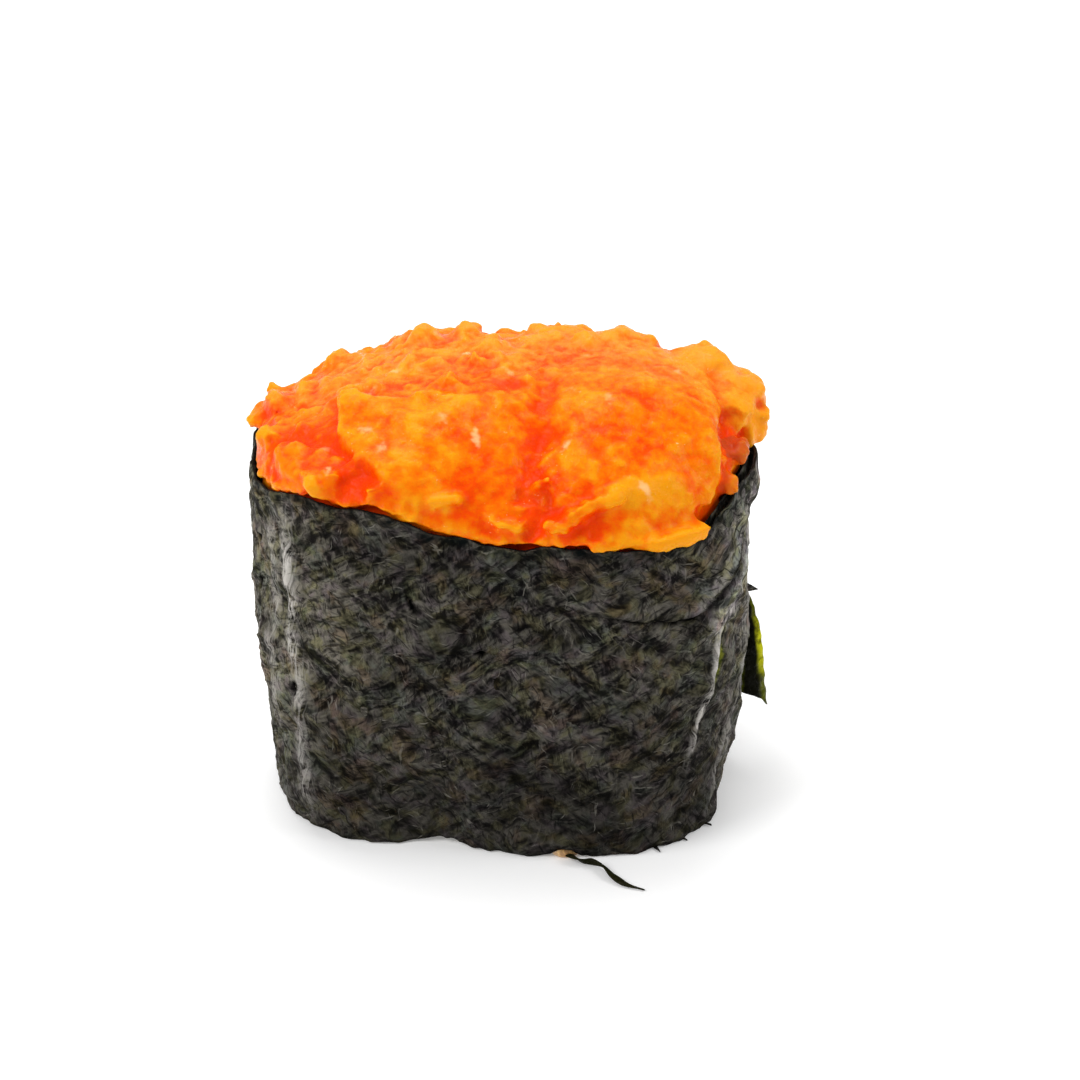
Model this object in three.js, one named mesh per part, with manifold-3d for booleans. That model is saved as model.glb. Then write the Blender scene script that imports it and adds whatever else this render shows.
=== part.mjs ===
// Gunkan sushi: an upright band of nori seaweed, wrapped once round a block of rice and lapped over itself,
// filled above the rice with a lumpy mound of chopped salmon in spicy mayonnaise that swells over the rim.
// Millimetres, +Z up. The origin is the middle of the underside, on the surface that the sushi stands on.
// +X is the long way of the oval, and -Y is the front, where the rim dips.
import * as THREE from "three";
import { ImprovedNoise } from "three/addons/math/ImprovedNoise.js";
import { mergeVertices } from "three/addons/utils/BufferGeometryUtils.js";
import Module from "manifold-3d";

const wasm = await Module();
wasm.setup();

const { abs, cos, exp, hypot, max, min, PI, pow, sin, sqrt } = Math;
const degrees = THREE.MathUtils.degToRad;

// ---- Driving dimensions ----
const OVAL_POWER = 2.5; // the plan is a superellipse: 2 is an ellipse, more is squarer
const FOOT_HALF_LENGTH = 21.3;
const FOOT_HALF_DEPTH = 15.0;
const FLARE = 1.9; // how much further out the band stands above its foot
const FLARE_HEIGHT = 20;
const RIM_HEIGHT = 36.2; // its usual height: RIM gives the real one all the way round
const SHEET = 0.4; // thickness of the nori
const GAP = 0.35; // clearance between neighbouring solids
const RICE_TOP = 24;
const MOUND_RISE = 7.3; // from the rim to the top of the mound, before its lumps

// ---- Small helpers ----
const perlin = new ImprovedNoise();

// Smooth noise from -1 to 1 at a point, with bumps of about the given size.
function noise(x, y, z, size) {
  return perlin.noise(x / size + 31.7, y / size + 17.3, z / size + 5.9);
}

function smooth(from, to, x) {
  return THREE.MathUtils.smoothstep(x, from, to);
}

function bell(distance, spread) {
  return exp(-0.5 * pow(distance / spread, 2));
}

// The signed angle from b to a, in degrees, from -180 to 180.
function turnBetween(a, b) {
  return THREE.MathUtils.euclideanModulo(a - b + 180, 360) - 180;
}

// A repeatable stream of numbers from 0 to 1 (mulberry32).
function randomStream(seed) {
  let state = seed;
  return () => {
    state = (state + 0x6d2b79f5) | 0;
    let mixed = Math.imul(state ^ (state >>> 15), 1 | state);
    mixed = (mixed + Math.imul(mixed ^ (mixed >>> 7), 61 | mixed)) ^ mixed;
    return ((mixed ^ (mixed >>> 14)) >>> 0) / 4294967296;
  };
}

// A closed three.js geometry as a solid that can be joined and cut.
function solidOf(geometry) {
  const bare = geometry.clone();
  bare.deleteAttribute("normal");
  bare.deleteAttribute("uv");
  const merged = mergeVertices(bare, 1e-4);
  return new wasm.Manifold(
    new wasm.Mesh({
      numProp: 3,
      vertProperties: merged.getAttribute("position").array,
      triVerts: new Uint32Array(merged.index.array),
    }),
  );
}

function joined(geometries) {
  return geometries.map(solidOf).reduce((whole, piece) => whole.add(piece));
}

// The largest body of a solid, as a three.js geometry: cutting can leave loose scraps.
function geometryOf(solid) {
  const bodies = solid.decompose();
  bodies.sort((a, b) => b.volume() - a.volume());
  const mesh = bodies[0].getMesh();
  const geometry = new THREE.BufferGeometry();
  geometry.setAttribute("position", new THREE.BufferAttribute(mesh.vertProperties, 3));
  geometry.setIndex(new THREE.BufferAttribute(mesh.triVerts, 1));
  return geometry;
}

// A closed surface from rings of points, each ring counter-clockwise seen from above, listed from the top
// down, with one point that closes the top and one that closes the bottom.
function shellOf(topPoint, rings, bottomPoint) {
  const sides = rings[0].length;
  const points = [topPoint, ...rings.flat(), bottomPoint];
  const last = points.length - 1;
  const index = [];
  for (let i = 0; i < sides; i++) {
    const next = (i + 1) % sides;
    index.push(0, 1 + i, 1 + next);
    for (let ring = 0; ring + 1 < rings.length; ring++) {
      const upper = 1 + ring * sides;
      const lower = upper + sides;
      index.push(upper + i, lower + i, lower + next);
      index.push(upper + i, lower + next, upper + next);
    }
    const lowest = 1 + (rings.length - 1) * sides;
    index.push(lowest + i, last, lowest + next);
  }
  const geometry = new THREE.BufferGeometry().setFromPoints(points);
  geometry.setIndex(index);
  return geometry;
}

// ---- The band's shape ----
// Dents and swellings of the wall: the direction they face in degrees, how far they push the wall out, how
// many degrees they spread, and the height up to which they fade away (0 means they run to the rim).
const WALL_SHAPES = [
  { facing: -116, push: -2.3, spread: 10, fadeTo: 15 }, // the notch in the front of the foot
  { facing: -60, push: 0.9, spread: 22, fadeTo: 0 },
  { facing: -139, push: 0.3, spread: 9, fadeTo: 26 },
  { facing: -84, push: -0.5, spread: 12, fadeTo: 0 },
  { facing: 2, push: -0.9, spread: 24, fadeTo: 0 },
  { facing: 62, push: 0.5, spread: 18, fadeTo: 0 },
  { facing: 105, push: -0.9, spread: 13, fadeTo: 30 },
  { facing: 178, push: -0.7, spread: 20, fadeTo: 30 },
  { facing: -30, push: 0.6, spread: 14, fadeTo: 20 },
];
// The same for places part of the way up the wall: spread is in degrees and tall in millimetres.
const WALL_SWELLS = [
  { facing: -170, push: 1.1, spread: 14, height: 2, tall: 4.5 },
  { facing: -12, push: -0.65, spread: 14, height: 4, tall: 6 },
  { facing: 0, push: -0.9, spread: 12, height: 31, tall: 2.6 },
];
// The crease below the front of the rim. It falls a little from its left end to lowAt, and then climbs to the
// rim: above it the sheet bulges, and below it lies a groove.
const CREASE = {
  from: -70, // its two ends, as directions
  to: 4,
  low: 25,
  lowAt: -37,
  climbLeft: 0.1, // millimetres to a degree
  climbRight: 0.3,
  round: 3, // how many degrees the turn between the two slopes takes
  bulge: 0.8,
  reach: 4,
  groove: 0.6,
};
// The rim's height round the band: direction in degrees and height. It dips along the front.
const RIM = [
  [-180, 36.0],
  [-162, 35.8],
  [-144, 37.1],
  [-127, 37.4],
  [-108, 35.1],
  [-88, 34.2],
  [-60, 34.1],
  [-36, 32.9],
  [-15, 36.4],
  [4, 36.0],
  [40, 36.6],
  [88, 35.7],
  [132, 36.5],
  [180, 36.0],
];
const RICE_NOTCH = { facing: -69, spread: 2.8, height: 1.0 }; // where a grain shows below the sheet

function creaseHeight(facing) {
  const turn = facing - CREASE.lowAt;
  const both = 0.5 * (CREASE.climbRight + CREASE.climbLeft) * hypot(turn, CREASE.round);
  return CREASE.low + both + 0.5 * (CREASE.climbRight - CREASE.climbLeft) * turn;
}

function creaseBulge(facing, z) {
  const begun = smooth(CREASE.from, CREASE.from + 30, facing);
  const along = begun * (1 - smooth(CREASE.to - 8, CREASE.to, facing));
  const above = z - creaseHeight(facing);
  const profile = above > 0 ? exp(-above / CREASE.reach) : -CREASE.groove * exp(above / 1.5);
  return CREASE.bulge * along * profile;
}

// Distance from the axis to the sheet's middle surface, in the direction facing (degrees) at height z.
function wallRadius(facing, z) {
  const spread = FLARE * sin((PI / 2) * min(1, max(0, z) / FLARE_HEIGHT));
  const a = degrees(facing);
  const across = pow(abs(cos(a)) / (FOOT_HALF_LENGTH + spread), OVAL_POWER);
  const deep = pow(abs(sin(a)) / (FOOT_HALF_DEPTH + 0.5 * spread), OVAL_POWER);
  let radius = pow(across + deep, -1 / OVAL_POWER);
  for (const shape of WALL_SHAPES) {
    const fade = shape.fadeTo ? 1 - smooth(0, shape.fadeTo, z) : 1;
    radius += shape.push * bell(turnBetween(facing, shape.facing), shape.spread) * fade;
  }
  for (const swell of WALL_SWELLS) {
    const along = bell(turnBetween(facing, swell.facing), swell.spread);
    radius += swell.push * along * bell(z - swell.height, swell.tall);
  }
  const broad = 0.13 * sin(5 * a + 0.21 * z) + 0.1 * sin(9 * a - 0.33 * z + 1);
  const fine = 0.08 * sin(14 * a + 0.5 * z);
  return radius + creaseBulge(turnBetween(facing, 0), z) + broad + fine;
}

function rimHeight(facing) {
  const turn = turnBetween(facing, 0);
  const next = RIM.findIndex(([direction]) => direction > turn);
  const [from, to] = [RIM[next - 1], RIM[next]];
  const level = THREE.MathUtils.lerp(from[1], to[1], smooth(from[0], to[0], turn));
  return level + 0.15 * sin(degrees(9 * facing));
}

function footHeight(facing) {
  const grain = RICE_NOTCH.height * bell(turnBetween(facing, RICE_NOTCH.facing), RICE_NOTCH.spread);
  const dent = 0.5 * bell(turnBetween(facing, -114), 8);
  const back = 0.4 * bell(turnBetween(facing, 120), 10);
  return grain + dent + back;
}

// A point of the wall, moved outwards from the sheet's middle surface by offset.
function wallPoint(facing, z, offset = 0) {
  const at = (turn) => {
    const radius = wallRadius(turn, z);
    return new THREE.Vector2(radius * cos(degrees(turn)), radius * sin(degrees(turn)));
  };
  const here = at(facing);
  const along = at(facing + 0.5).sub(at(facing - 0.5)).normalize();
  return new THREE.Vector3(here.x + along.y * offset, here.y - along.x * offset, z);
}

// ---- Nori band ----
const LAP_START = -34.5; // the strip's inner end; it runs counter-clockwise from here
const LAP = 45; // degrees by which the outer end lies over the inner one
const STEP = 7.5;
const ROWS = 11;
const COLUMNS = (360 + LAP) / STEP;
const LAYER_STEP = SHEET + 0.25; // the outer layer's distance from the inner one, middle to middle

// The strip from one column to another as a closed ribbon, thickened by extra on every side.
function ribbonOf(extra, first, last) {
  const columns = last - first;
  const half = SHEET / 2 + extra;
  const points = [];
  for (let i = first; i <= last; i++) {
    const turn = LAP_START + i * STEP;
    const lifted = LAYER_STEP * smooth(360 - 35, 360 - STEP, i * STEP);
    for (let j = 0; j <= ROWS; j++) {
      const z = THREE.MathUtils.lerp(footHeight(turn) - extra, rimHeight(turn) + extra, j / ROWS);
      points.push(wallPoint(turn, z, lifted + half), wallPoint(turn, z, lifted - half));
    }
  }
  const outer = (i, j) => 2 * (i * (ROWS + 1) + j);
  const inner = (i, j) => outer(i, j) + 1;
  const index = [];
  const quad = (a, b, c, d) => index.push(a, b, c, a, c, d);
  for (let i = 0; i < columns; i++) {
    for (let j = 0; j < ROWS; j++) {
      quad(outer(i, j), outer(i + 1, j), outer(i + 1, j + 1), outer(i, j + 1));
      quad(inner(i, j), inner(i, j + 1), inner(i + 1, j + 1), inner(i + 1, j));
    }
    quad(outer(i, ROWS), outer(i + 1, ROWS), inner(i + 1, ROWS), inner(i, ROWS));
    quad(inner(i, 0), inner(i + 1, 0), outer(i + 1, 0), outer(i, 0));
  }
  for (let j = 0; j < ROWS; j++) {
    quad(inner(0, j), outer(0, j), outer(0, j + 1), inner(0, j + 1));
    quad(outer(columns, j), inner(columns, j), inner(columns, j + 1), outer(columns, j + 1));
  }
  const geometry = new THREE.BufferGeometry().setFromPoints(points);
  geometry.setIndex(index);
  return geometry;
}

// The torn corner of the strip's outer end, which stands away from the band on the right: a thin triangle
// whose root lies in the outer layer.
function flapGeometry() {
  const top = 18.8;
  const foot = 6.0;
  const reach = 4.6;
  const outline = new THREE.Shape();
  outline.moveTo(-0.5, top);
  outline.lineTo(0.6, top + 0.6);
  outline.quadraticCurveTo(3.2, 0.5 * (top + foot), reach, foot);
  outline.lineTo(0.8 * reach, foot - 0.3);
  outline.lineTo(0.25 * reach, foot + 1.4);
  outline.lineTo(-0.5, foot + 1.6);
  const plain = { depth: SHEET, bevelEnabled: false, curveSegments: 6 };
  const geometry = new THREE.ExtrudeGeometry(outline, plain);
  geometry.rotateX(PI / 2);
  geometry.rotateZ(degrees(12));
  const end = LAP_START + LAP - 1;
  const root = wallPoint(end, 0.5 * (top + foot), LAYER_STEP);
  geometry.translate(root.x, root.y, 0);
  return geometry;
}

// ---- Nori shred ----
// A torn sliver that lies on the table in front, from the band's foot to a hair-thin tip.
function shredGeometry() {
  const path = new THREE.CatmullRomCurve3([
    new THREE.Vector3(6.7, -16.35, 0.4),
    new THREE.Vector3(8.4, -17.0, 0.4),
    new THREE.Vector3(10.3, -19.0, 0.45),
    new THREE.Vector3(13.3, -21.2, 0.2),
  ]);
  const steps = 12;
  const thickness = 0.3;
  const rings = [];
  for (let i = 0; i <= steps; i++) {
    const t = i / steps;
    const centre = path.getPoint(t);
    const side = new THREE.Vector3(0, 0, 1).cross(path.getTangent(t)).normalize();
    const half = 0.5 * THREE.MathUtils.lerp(1.1, 0.25, smooth(0.35, 1, t));
    const corner = (across, up) =>
      centre.clone().addScaledVector(side, across * half).setZ(max(0, centre.z + up * thickness));
    rings.push([corner(-1, 0), corner(1, 0), corner(1, -1), corner(-1, -1)]);
  }
  const index = [];
  for (let i = 0; i < steps; i++) {
    for (let k = 0; k < 4; k++) {
      const [a, b] = [4 * i + k, 4 * i + ((k + 1) % 4)];
      index.push(a, a + 4, b + 4, a, b + 4, b);
    }
  }
  const end = 4 * steps;
  index.push(0, 1, 2, 0, 2, 3, end, end + 2, end + 1, end, end + 3, end + 2);
  const geometry = new THREE.BufferGeometry().setFromPoints(rings.flat());
  geometry.setIndex(index);
  return geometry;
}

// ---- Lumps ----
// An uneven lump: a faceted ball, stretched to the three half sizes, roughened, turned and set in place.
function lumpGeometry({ at, size, heading = 0, tilt = 0, roll = 0, detail = 1, rough = 0.22, seed = 0 }) {
  const geometry = new THREE.IcosahedronGeometry(1, detail);
  geometry.deleteAttribute("uv");
  geometry.deleteAttribute("normal");
  const position = geometry.getAttribute("position");
  const point = new THREE.Vector3();
  for (let i = 0; i < position.count; i++) {
    point.fromBufferAttribute(position, i);
    point.multiplyScalar(1 + rough * noise(point.x + 9 * seed, point.y - 4 * seed, point.z + seed, 0.62));
    position.setXYZ(i, point.x * size[0], point.y * size[1], point.z * size[2]);
  }
  const turn = new THREE.Euler(degrees(roll), degrees(tilt), degrees(heading), "ZYX");
  geometry.applyMatrix4(new THREE.Matrix4().makeRotationFromEuler(turn));
  geometry.translate(...at);
  return geometry;
}

// ---- Rice ----
const RICE_SIDES = 48;
const RICE_BASE = 1.0; // the block's own underside; the grains below it are pressed flat on the table
const GRAIN = { half: [3.1, 1.45, 1.2], apart: 2.15, throws: 20000, seed: 11 };

function riceBlock() {
  const ringAt = (z, inset) =>
    Array.from({ length: RICE_SIDES }, (_, i) => {
      const facing = (360 * i) / RICE_SIDES;
      return wallPoint(facing, z, -SHEET / 2 - GAP - inset);
    });
  const bevel = [ringAt(RICE_TOP, 1.4), ringAt(RICE_TOP - 1.2, 0.2)];
  const rings = [...bevel, ringAt(10, 0.2), ringAt(RICE_BASE, 0.2)];
  return shellOf(new THREE.Vector3(0, 0, RICE_TOP), rings, new THREE.Vector3(0, 0, RICE_BASE));
}

// A cooked grain of rice, lying along heading.
function grainGeometry({ x, y, heading, scale }, z) {
  const grain = new THREE.SphereGeometry(1, 6, 4);
  grain.rotateZ(PI / 2);
  grain.scale(...GRAIN.half.map((half) => half * scale));
  grain.rotateZ(heading);
  grain.translate(x, y, z);
  return grain;
}

// Grains thrown at random on the underside: one stays where it hardly touches those that lie already.
function packedGrains() {
  const random = randomStream(GRAIN.seed);
  const spine = (grain) =>
    [-0.62, 0, 0.62].map((share) => {
      const reach = share * GRAIN.half[0] * grain.scale;
      return new THREE.Vector2(grain.x + reach * cos(grain.heading), grain.y + reach * sin(grain.heading));
    });
  const wallAt = (point) => wallRadius(THREE.MathUtils.radToDeg(point.angle()), 0.5);
  const packed = [{ x: 0.2, y: 0.1, heading: 0.4, scale: 1 }]; // one lies over the origin
  packed[0].spine = spine(packed[0]);
  for (let throws = 0; throws < GRAIN.throws; throws++) {
    const [x, y] = [FOOT_HALF_LENGTH * (2 * random() - 1), FOOT_HALF_DEPTH * (2 * random() - 1)];
    const grain = { x, y, heading: PI * random(), scale: 0.9 + 0.2 * random() };
    grain.spine = spine(grain);
    const inside = grain.spine.every((point) => wallAt(point) - point.length() > GRAIN.half[1] + 0.9);
    const free = packed.every((other) =>
      other.spine.every((there) => grain.spine.every((here) => here.distanceTo(there) > GRAIN.apart)),
    );
    if (inside && free) packed.push(grain);
  }
  return packed;
}

function riceSolid() {
  const grains = packedGrains().map((grain) => grainGeometry(grain, RICE_BASE - 0.1));
  const peek = wallPoint(RICE_NOTCH.facing, 0.6, -0.6);
  grains.push(grainGeometry({ x: peek.x, y: peek.y, heading: degrees(8), scale: 0.7 }, 0.5));
  const table = new THREE.BoxGeometry(60, 60, 10).translate(0, 0, -5);
  return joined([riceBlock(), ...grains]).subtract(solidOf(table));
}

// ---- Salmon mound ----
const MOUND_RINGS = 20; // ring k of the mound's top has 6k points, so that its triangles are all alike
const MOUND_POWER = 2.2; // 2 rounds the mound like an egg, more makes its top flatter
// Broad swellings (push above 0) and hollows of the mound's top: place, rise and how far they spread.
const MOUND_SHAPES = [
  { x: 12, y: -6, push: 1.3, spreadX: 6, spreadY: 7 }, // the big shoulder on the right
  { x: 3.4, y: -11, push: -2.3, spreadX: 1.7, spreadY: 5 }, // the valley down the front
  { x: -8, y: -7, push: 0.8, spreadX: 6, spreadY: 4 }, // under the slab
  { x: -14.5, y: -11, push: -2.0, spreadX: 4, spreadY: 3.2 }, // the low left front, below the slab
  { x: 21.8, y: -5, push: -2.6, spreadX: 1.4, spreadY: 5 }, // the hollow inside the right ledge
  { x: 20, y: 4.5, push: 0.8, spreadX: 3.5, spreadY: 4.5 }, // under the ledge
  { x: -17, y: 7, push: -1.5, spreadX: 5, spreadY: 7 },
  { x: -20.5, y: 5, push: -1.3, spreadX: 3, spreadY: 5 },
  { x: 8, y: 8, push: 0.3, spreadX: 6, spreadY: 5 },
];
const RIM_COVER = 0.75; // how far the mound's edge usually lies outside the band's inner face, on the rim
// Where it swells out further over the rim, or less far: direction, reach and spread in degrees.
const OVERHANGS = [
  { facing: -62, reach: 0.35, spread: 22 },
  { facing: -14, reach: -1.0, spread: 10 },
  { facing: 10, reach: 0.6, spread: 16 },
  { facing: 80, reach: 0.3, spread: 25 },
  { facing: -172, reach: -0.1, spread: 12 },
];
const MASH = { count: 130, least: 1.5, most: 2.9, height: 0.52, seed: 5, goldenTurn: 137.508 };

// The small lumps of the mash, spread evenly over the mound by a sunflower spiral.
function mashLumps() {
  const random = randomStream(MASH.seed);
  return Array.from({ length: MASH.count }, (_, i) => {
    const facing = i * MASH.goldenTurn;
    const radius = sqrt((i + 0.5) / MASH.count) * wallRadius(facing, RIM_HEIGHT - 2);
    return {
      x: radius * cos(degrees(facing)) + random() - 0.5,
      y: radius * sin(degrees(facing)) + random() - 0.5,
      size: THREE.MathUtils.lerp(MASH.least, MASH.most, random() * random()),
      heading: PI * random(),
      stretch: 1 + 0.7 * random(),
    };
  });
}

const MASH_LUMPS = mashLumps();

// How far the highest of the small lumps stands out at a place of the mound.
function lumpHeight(x, y) {
  let highest = 0;
  for (const lump of MASH_LUMPS) {
    const [dx, dy] = [x - lump.x, y - lump.y];
    const along = (dx * cos(lump.heading) + dy * sin(lump.heading)) / lump.stretch;
    const across = dy * cos(lump.heading) - dx * sin(lump.heading);
    const away = hypot(along, across) / lump.size;
    if (away < 1) highest = max(highest, MASH.height * lump.size * sqrt(1 - away * away));
  }
  return highest;
}

function moundHeight(x, y) {
  const facing = THREE.MathUtils.radToDeg(Math.atan2(y, x));
  const reach = min(1, hypot(x, y) / wallRadius(facing, RIM_HEIGHT - 1));
  const rim = THREE.MathUtils.lerp(RIM_HEIGHT - 0.5, rimHeight(facing), pow(reach, 3)) + GAP + 0.2;
  let z = rim + MOUND_RISE * sqrt(max(0, 1 - pow(reach, MOUND_POWER)));
  for (const shape of MOUND_SHAPES) {
    const fade = 1 - pow(reach, 8);
    z += shape.push * fade * bell(hypot((x - shape.x) / shape.spreadX, (y - shape.y) / shape.spreadY), 1);
  }
  return z;
}

// A point of the mound's top: share runs from 0 at the middle to 1 at the edge. The lumps stand out upwards
// in the middle and sideways at the edge.
function moundPoint(facing, share) {
  const inner = -SHEET / 2 - GAP - 0.1;
  let swell = RIM_COVER;
  for (const hang of OVERHANGS) swell += hang.reach * bell(turnBetween(facing, hang.facing), hang.spread);
  const edge = wallPoint(facing, rimHeight(facing) - 2, inner + swell).multiplyScalar(share);
  const point = new THREE.Vector3(edge.x, edge.y, moundHeight(edge.x, edge.y));
  const outward = new THREE.Vector3(edge.x / 20, edge.y / 20, 1 - 0.8 * pow(share, 6)).normalize();
  return point.addScaledVector(outward, lumpHeight(edge.x, edge.y) * (1 - 0.5 * pow(share, 12)));
}

// The mound's body: its lumpy top, and the plug below it that fills the band down to the rice.
function moundGeometry() {
  const rings = [[moundPoint(0, 0)]];
  for (let k = 1; k <= MOUND_RINGS; k++) {
    const share = sin((PI / 2) * (k / MOUND_RINGS));
    rings.push(Array.from({ length: 6 * k }, (_, i) => moundPoint((60 * i) / k, share)));
  }
  const edgeCount = 6 * MOUND_RINGS;
  const inside = -SHEET / 2 - GAP - 0.1;
  const plugRing = (heightOf) =>
    Array.from({ length: edgeCount }, (_, i) => {
      const facing = (360 * i) / edgeCount;
      const z = heightOf(facing);
      return wallPoint(facing, min(z, rimHeight(facing)), inside).setZ(z);
    });
  rings.push(plugRing((facing) => rimHeight(facing) + GAP + 0.1));
  rings.push(plugRing(() => RICE_TOP + GAP));
  const starts = [];
  let total = 0;
  for (const ring of rings) {
    starts.push(total);
    total += ring.length;
  }
  const index = [];
  for (let k = 0; k < MOUND_RINGS; k++) {
    const inner = (i) => starts[k] + (k ? i % (6 * k) : 0);
    const outer = (i) => starts[k + 1] + (i % (6 * (k + 1)));
    for (let sector = 0; sector < 6; sector++) {
      for (let j = 0; j <= k; j++) {
        const [near, far] = [sector * k + j, sector * (k + 1) + j];
        index.push(inner(near), outer(far), outer(far + 1));
        if (j < k) index.push(inner(near), outer(far + 1), inner(near + 1));
      }
    }
  }
  for (let ring = MOUND_RINGS; ring + 1 < rings.length; ring++) {
    for (let i = 0; i < edgeCount; i++) {
      const next = (i + 1) % edgeCount;
      const [upper, lower] = [starts[ring], starts[ring + 1]];
      index.push(upper + i, lower + i, lower + next, upper + i, lower + next, upper + next);
    }
  }
  const lowest = starts[rings.length - 1];
  for (let i = 0; i < edgeCount; i++) index.push(lowest + i, total, lowest + ((i + 1) % edgeCount));
  const points = [...rings.flat(), new THREE.Vector3(0, 0, RICE_TOP + GAP)];
  const geometry = new THREE.BufferGeometry().setFromPoints(points);
  geometry.setIndex(index);
  return geometry;
}

// The large pieces that stand out of the mash. Each is given by its place in plan, how far its middle lies
// above the mound there, its half sizes, and how it is turned (degrees).
const LARGE_PIECES = [
  { x: -7.8, y: -9.8, lift: -0.4, size: [7.4, 4.0, 2.0], heading: -12, tilt: 3, roll: 34 }, // slab
  { x: -12.6, y: -8.6, lift: 0.5, size: [3.4, 2.9, 1.7], heading: 15, tilt: -8, roll: 28 }, // slab's tip
  { x: -5.6, y: -12.8, lift: 0.3, size: [4.0, 2.0, 1.5], heading: -20, tilt: 0, roll: 35 }, // slab's foot
  { x: -6.0, y: -15.0, lift: 0.6, size: [1.5, 0.9, 0.8], heading: 10, tilt: 0, roll: 40 }, // crumb
  { x: 10.4, y: -5.0, lift: -1.5, size: [5.0, 4.4, 2.0], heading: 30, tilt: 3, roll: 10 }, // right shoulder
  { x: 14.0, y: -8.4, lift: -0.8, size: [4.6, 3.6, 2.2], heading: -15, tilt: 8, roll: 30 },
  { x: 8.6, y: -10.6, lift: -0.6, size: [3.4, 2.8, 1.8], heading: 60, tilt: 0, roll: 30 },
  { x: 15.6, y: -12.9, lift: 0.5, size: [4.2, 1.6, 1.3], heading: 10, tilt: 7, roll: 20 }, // tongue
  { x: 10.6, y: 7.9, lift: -0.9, size: [4.0, 3.0, 2.0], heading: 0, tilt: 0, roll: 0 }, // knob at the back
  { x: 5.4, y: 8.8, lift: -0.8, size: [3.0, 2.5, 1.7], heading: 30, tilt: 0, roll: 0 },
  { x: 21.5, y: 3.8, lift: 1.3, size: [2.8, 3.3, 1.9], heading: 35, tilt: 6, roll: 0 }, // ledge
  { x: 21.2, y: 0.2, lift: 1.0, size: [2.6, 2.2, 1.7], heading: -20, tilt: 10, roll: 0 },
  { x: 18.2, y: 5.6, lift: 0.0, size: [3.0, 2.6, 1.9], heading: 10, tilt: 0, roll: 0 },
  { x: 21.6, y: -5.0, lift: 0.2, size: [1.3, 1.7, 1.2], heading: 0, tilt: 0, roll: 20 }, // inside the ledge
  { x: 20.6, y: -8.0, lift: 0.0, size: [1.1, 1.5, 1.2], heading: 20, tilt: 0, roll: 20 },
  { x: -21.6, y: -2.6, lift: 0.3, size: [1.4, 1.8, 1.3], heading: 10, tilt: 0, roll: 0 }, // left edge
  { x: -20.2, y: -6.8, lift: 0.3, size: [2.8, 1.6, 1.4], heading: -35, tilt: 0, roll: 25 },
  { x: -15.4, y: -11.8, lift: 0.3, size: [2.8, 1.6, 1.5], heading: -15, tilt: 0, roll: 30 },
  { x: -21.2, y: 3.2, lift: 0.2, size: [1.3, 2.0, 1.4], heading: 10, tilt: 0, roll: 0 },
  { x: -15.8, y: 5.4, lift: 0.2, size: [3.4, 3.0, 1.8], heading: 30, tilt: 0, roll: 0 },
  { x: -3.4, y: 9.6, lift: 0.1, size: [1.9, 1.7, 1.4], heading: 0, tilt: 0, roll: 0 },
  { x: -7.4, y: 9.0, lift: 0.2, size: [1.9, 1.7, 1.4], heading: 50, tilt: 0, roll: 0 },
];

function largePieces() {
  return LARGE_PIECES.map((piece, seed) => {
    const at = [piece.x, piece.y, moundHeight(piece.x, piece.y) + piece.lift];
    return lumpGeometry({ ...piece, at, seed, detail: max(...piece.size) > 3.5 ? 2 : 1 });
  });
}

// ---- Assembly ----
function meshOf(name, geometry, colour, roughness) {
  const material = new THREE.MeshStandardMaterial({ color: colour, roughness, metalness: 0 });
  const mesh = new THREE.Mesh(geometry, material);
  mesh.name = name;
  return mesh;
}

// The band with its clearance, which its neighbours stay out of. It is joined from two halves, as the two
// layers of the lap would run into each other in one.
const halfway = COLUMNS / 2;
const keepOut = solidOf(ribbonOf(GAP, 0, halfway + 1)).add(solidOf(ribbonOf(GAP, halfway, COLUMNS)));
const shredKeepOut = solidOf(lumpGeometry({ at: [6.6, -16.0, 0], size: [1.6, 1.6, 0.9], rough: 0 }));
const band = solidOf(ribbonOf(0, 0, COLUMNS)).add(solidOf(flapGeometry()));
const mound = joined([moundGeometry(), ...largePieces()]);

const sushi = new THREE.Group();
sushi.name = "gunkan_sushi";
sushi.add(
  meshOf("nori", geometryOf(band), 0x1f211d, 0.5),
  meshOf("nori_shred", shredGeometry(), 0x23260f, 0.6),
  meshOf("rice", geometryOf(riceSolid().subtract(keepOut).subtract(shredKeepOut)), 0xece6d6, 0.45),
  meshOf("salmon_topping", geometryOf(mound.subtract(keepOut)), 0xff7a14, 0.35),
);

export default sushi;
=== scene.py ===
"""Gunkan sushi: a band of nori round rice, heaped with chopped salmon in spicy mayonnaise.

Lengths in the shape code are in millimetres, and become metres where a mesh is made. Directions round the
band are in degrees: 0 is +X, the right end, and -90 is -Y, the front.
"""
from itertools import product

import bmesh
import bpy
import numpy as np
from mathutils import Euler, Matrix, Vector
from mathutils.kdtree import KDTree


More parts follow.
